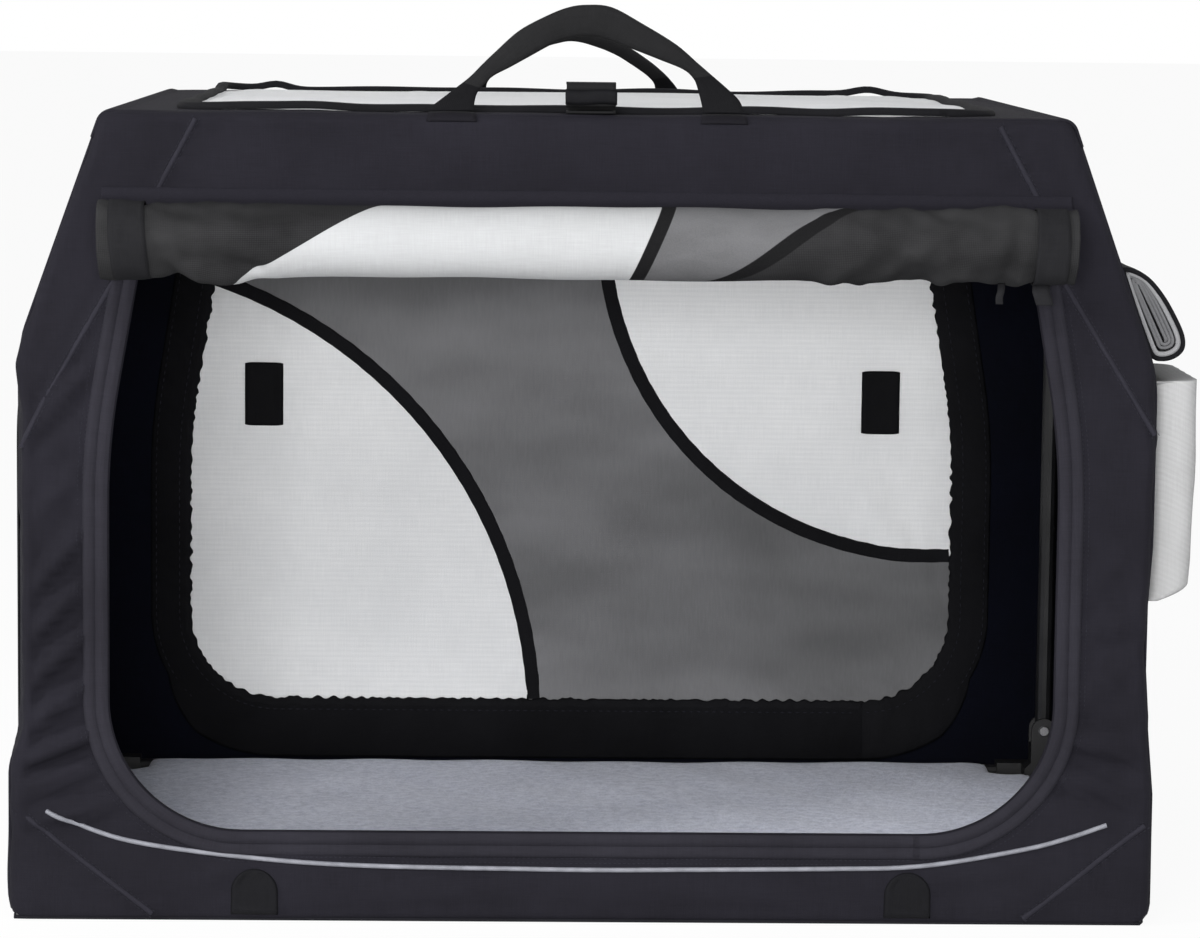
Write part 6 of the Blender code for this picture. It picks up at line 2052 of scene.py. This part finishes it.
# For each body, whether its pieces get a mesh of their own, and its pieces: each with the name of a
# material slot, which is not used, and the solids that it stands for.
PLACEMENTS = [
    ("base", True, [
        (front_wall, "charcoal_polyester", "front_wall"),
        (front_zip, "charcoal_polyester", "front_zip_binding"),
        (front_piping, "reflective_piping", "front_reflective_piping"),
        (patch_left, "black_binding", "front_patch_left"),
        (patch_right, "black_binding", "front_patch_right"),
        (front_stitches, "charcoal_polyester"),
        *[(ridge, "charcoal_polyester") for ridge in seam_highlight_ridges],
        (rear_wall, "charcoal_polyester", "rear_wall"),
        (rear_zip, "black_binding", "rear_zip_binding"),
        (rear_border, "black_binding"),
        (rear_stitches, "black_binding"),
        (rear_door, "light_grey_polyester", *REAR_FIELDS),
        (door_pipings[0], "black_binding", "rear_door_low_piping"),
        (door_pipings[1], "black_binding", "rear_door_high_piping"),
        (tie_patches[0], "black_binding", "rear_tie_patch_left"),
        (tie_patches[1], "black_binding", "rear_tie_patch_right"),
        (left_wall, "charcoal_polyester", "left_end_wall"),
        (left_cover, "light_grey_polyester", "left_end_cover"),
        (left_tape, "black_binding"),
        (right_wall, "charcoal_polyester", "right_end_wall"),
        (right_mesh, "black_mesh", "right_end_mesh"),
        (right_tape, "black_binding"),
        (cover_outer, "black_binding", "right_end_cover_roll"),
        (cover_middle, "light_grey_polyester"),
        (cover_inner, "mid_grey_polyester"),
        (pocket, "light_grey_polyester", "side_pocket"),
        (rolled, "black_mesh", "front_door_roll"),
        (tie_left, "black_mesh", "front_roll_tie_left"),
        (tie_right, "black_mesh", "front_roll_tie_right"),
        (tail_right, "black_mesh"),
        (tail_thin, "light_grey_polyester"),
    ]),
    ("base", False, [(mat, "grey_fleece", "fleece_mat"), (board, "floor_cloth", "floor_panel")]),
    ("roof", False, [
        (roof_cover, "charcoal_polyester", "roof_cover"),
        (hatch, "light_grey_polyester", "roof_hatch"),
        (hatch_binding, "black_binding"),
        (strap, "black_webbing", "roof_strap"),
        (band, "black_binding"),
        *[(foot, "black_webbing") for foot in handle_feet],
    ]),
    ("front_handle", False, [(front_handle, "black_webbing", "front_carry_handle")]),
    ("rear_handle", False, [(rear_handle, "black_webbing", "rear_carry_handle")]),
    ("rear_zip_left", True, [(sliders[0], "zip_slider_metal", "rear_zip_slider_left")]),
    ("rear_zip_right", True, [(sliders[1], "zip_slider_metal", "rear_zip_slider_right")]),
    ("roof_zip", False, [(sliders[2], "zip_slider_metal", "roof_zip_slider")]),
]
print("groups of pieces to place:", len(PLACEMENTS))

# %% [markdown]

# %% [markdown]
# The rigid pieces keep the solid model's shapes. They only need finishes that look like painted tube,
# moulded plastic and steel.

# %% Finishes for the rigid pieces
RIGID_FINISHES = dict.fromkeys(("tube", "rail", "bow"), (tube_paint, "black_tube_steel"))
RIGID_FINISHES |= dict.fromkeys(("bracket", "clip", "elbow"), (fitting_plastic, "black_fitting_plastic"))
RIGID_FINISHES["pin"] = (pin_metal, "pin_steel")
finished = []
for name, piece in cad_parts.items():
    kind = name.split("_")[-1]
    if kind not in RIGID_FINISHES:
        continue
    look, slot_name = RIGID_FINISHES[kind]
    piece.data.materials.clear()
    piece.data.materials.append(look)
    finished.append(name)
print("rigid pieces with their finish:", len(finished))

# %% [markdown]
# Each sewn piece takes the place of solids. Those on the base ride on it, those on the roof go down with
# the roof, and the handles and sliders move by themselves.


# %% Say what each piece stands for and rides on
def settle(piece, body, replaced, folds):
    """Gives a piece its body and the solids that it stands for."""
    if replaced:
        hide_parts(*replaced)
    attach(piece, body)
    if folds:
        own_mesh(piece)


for body, folds, rows in PLACEMENTS:
    for piece, slot_name, *replaced in rows:
        settle(piece, body, replaced, folds)
print("pieces placed:", sum(len(rows) for _, _, rows in PLACEMENTS))
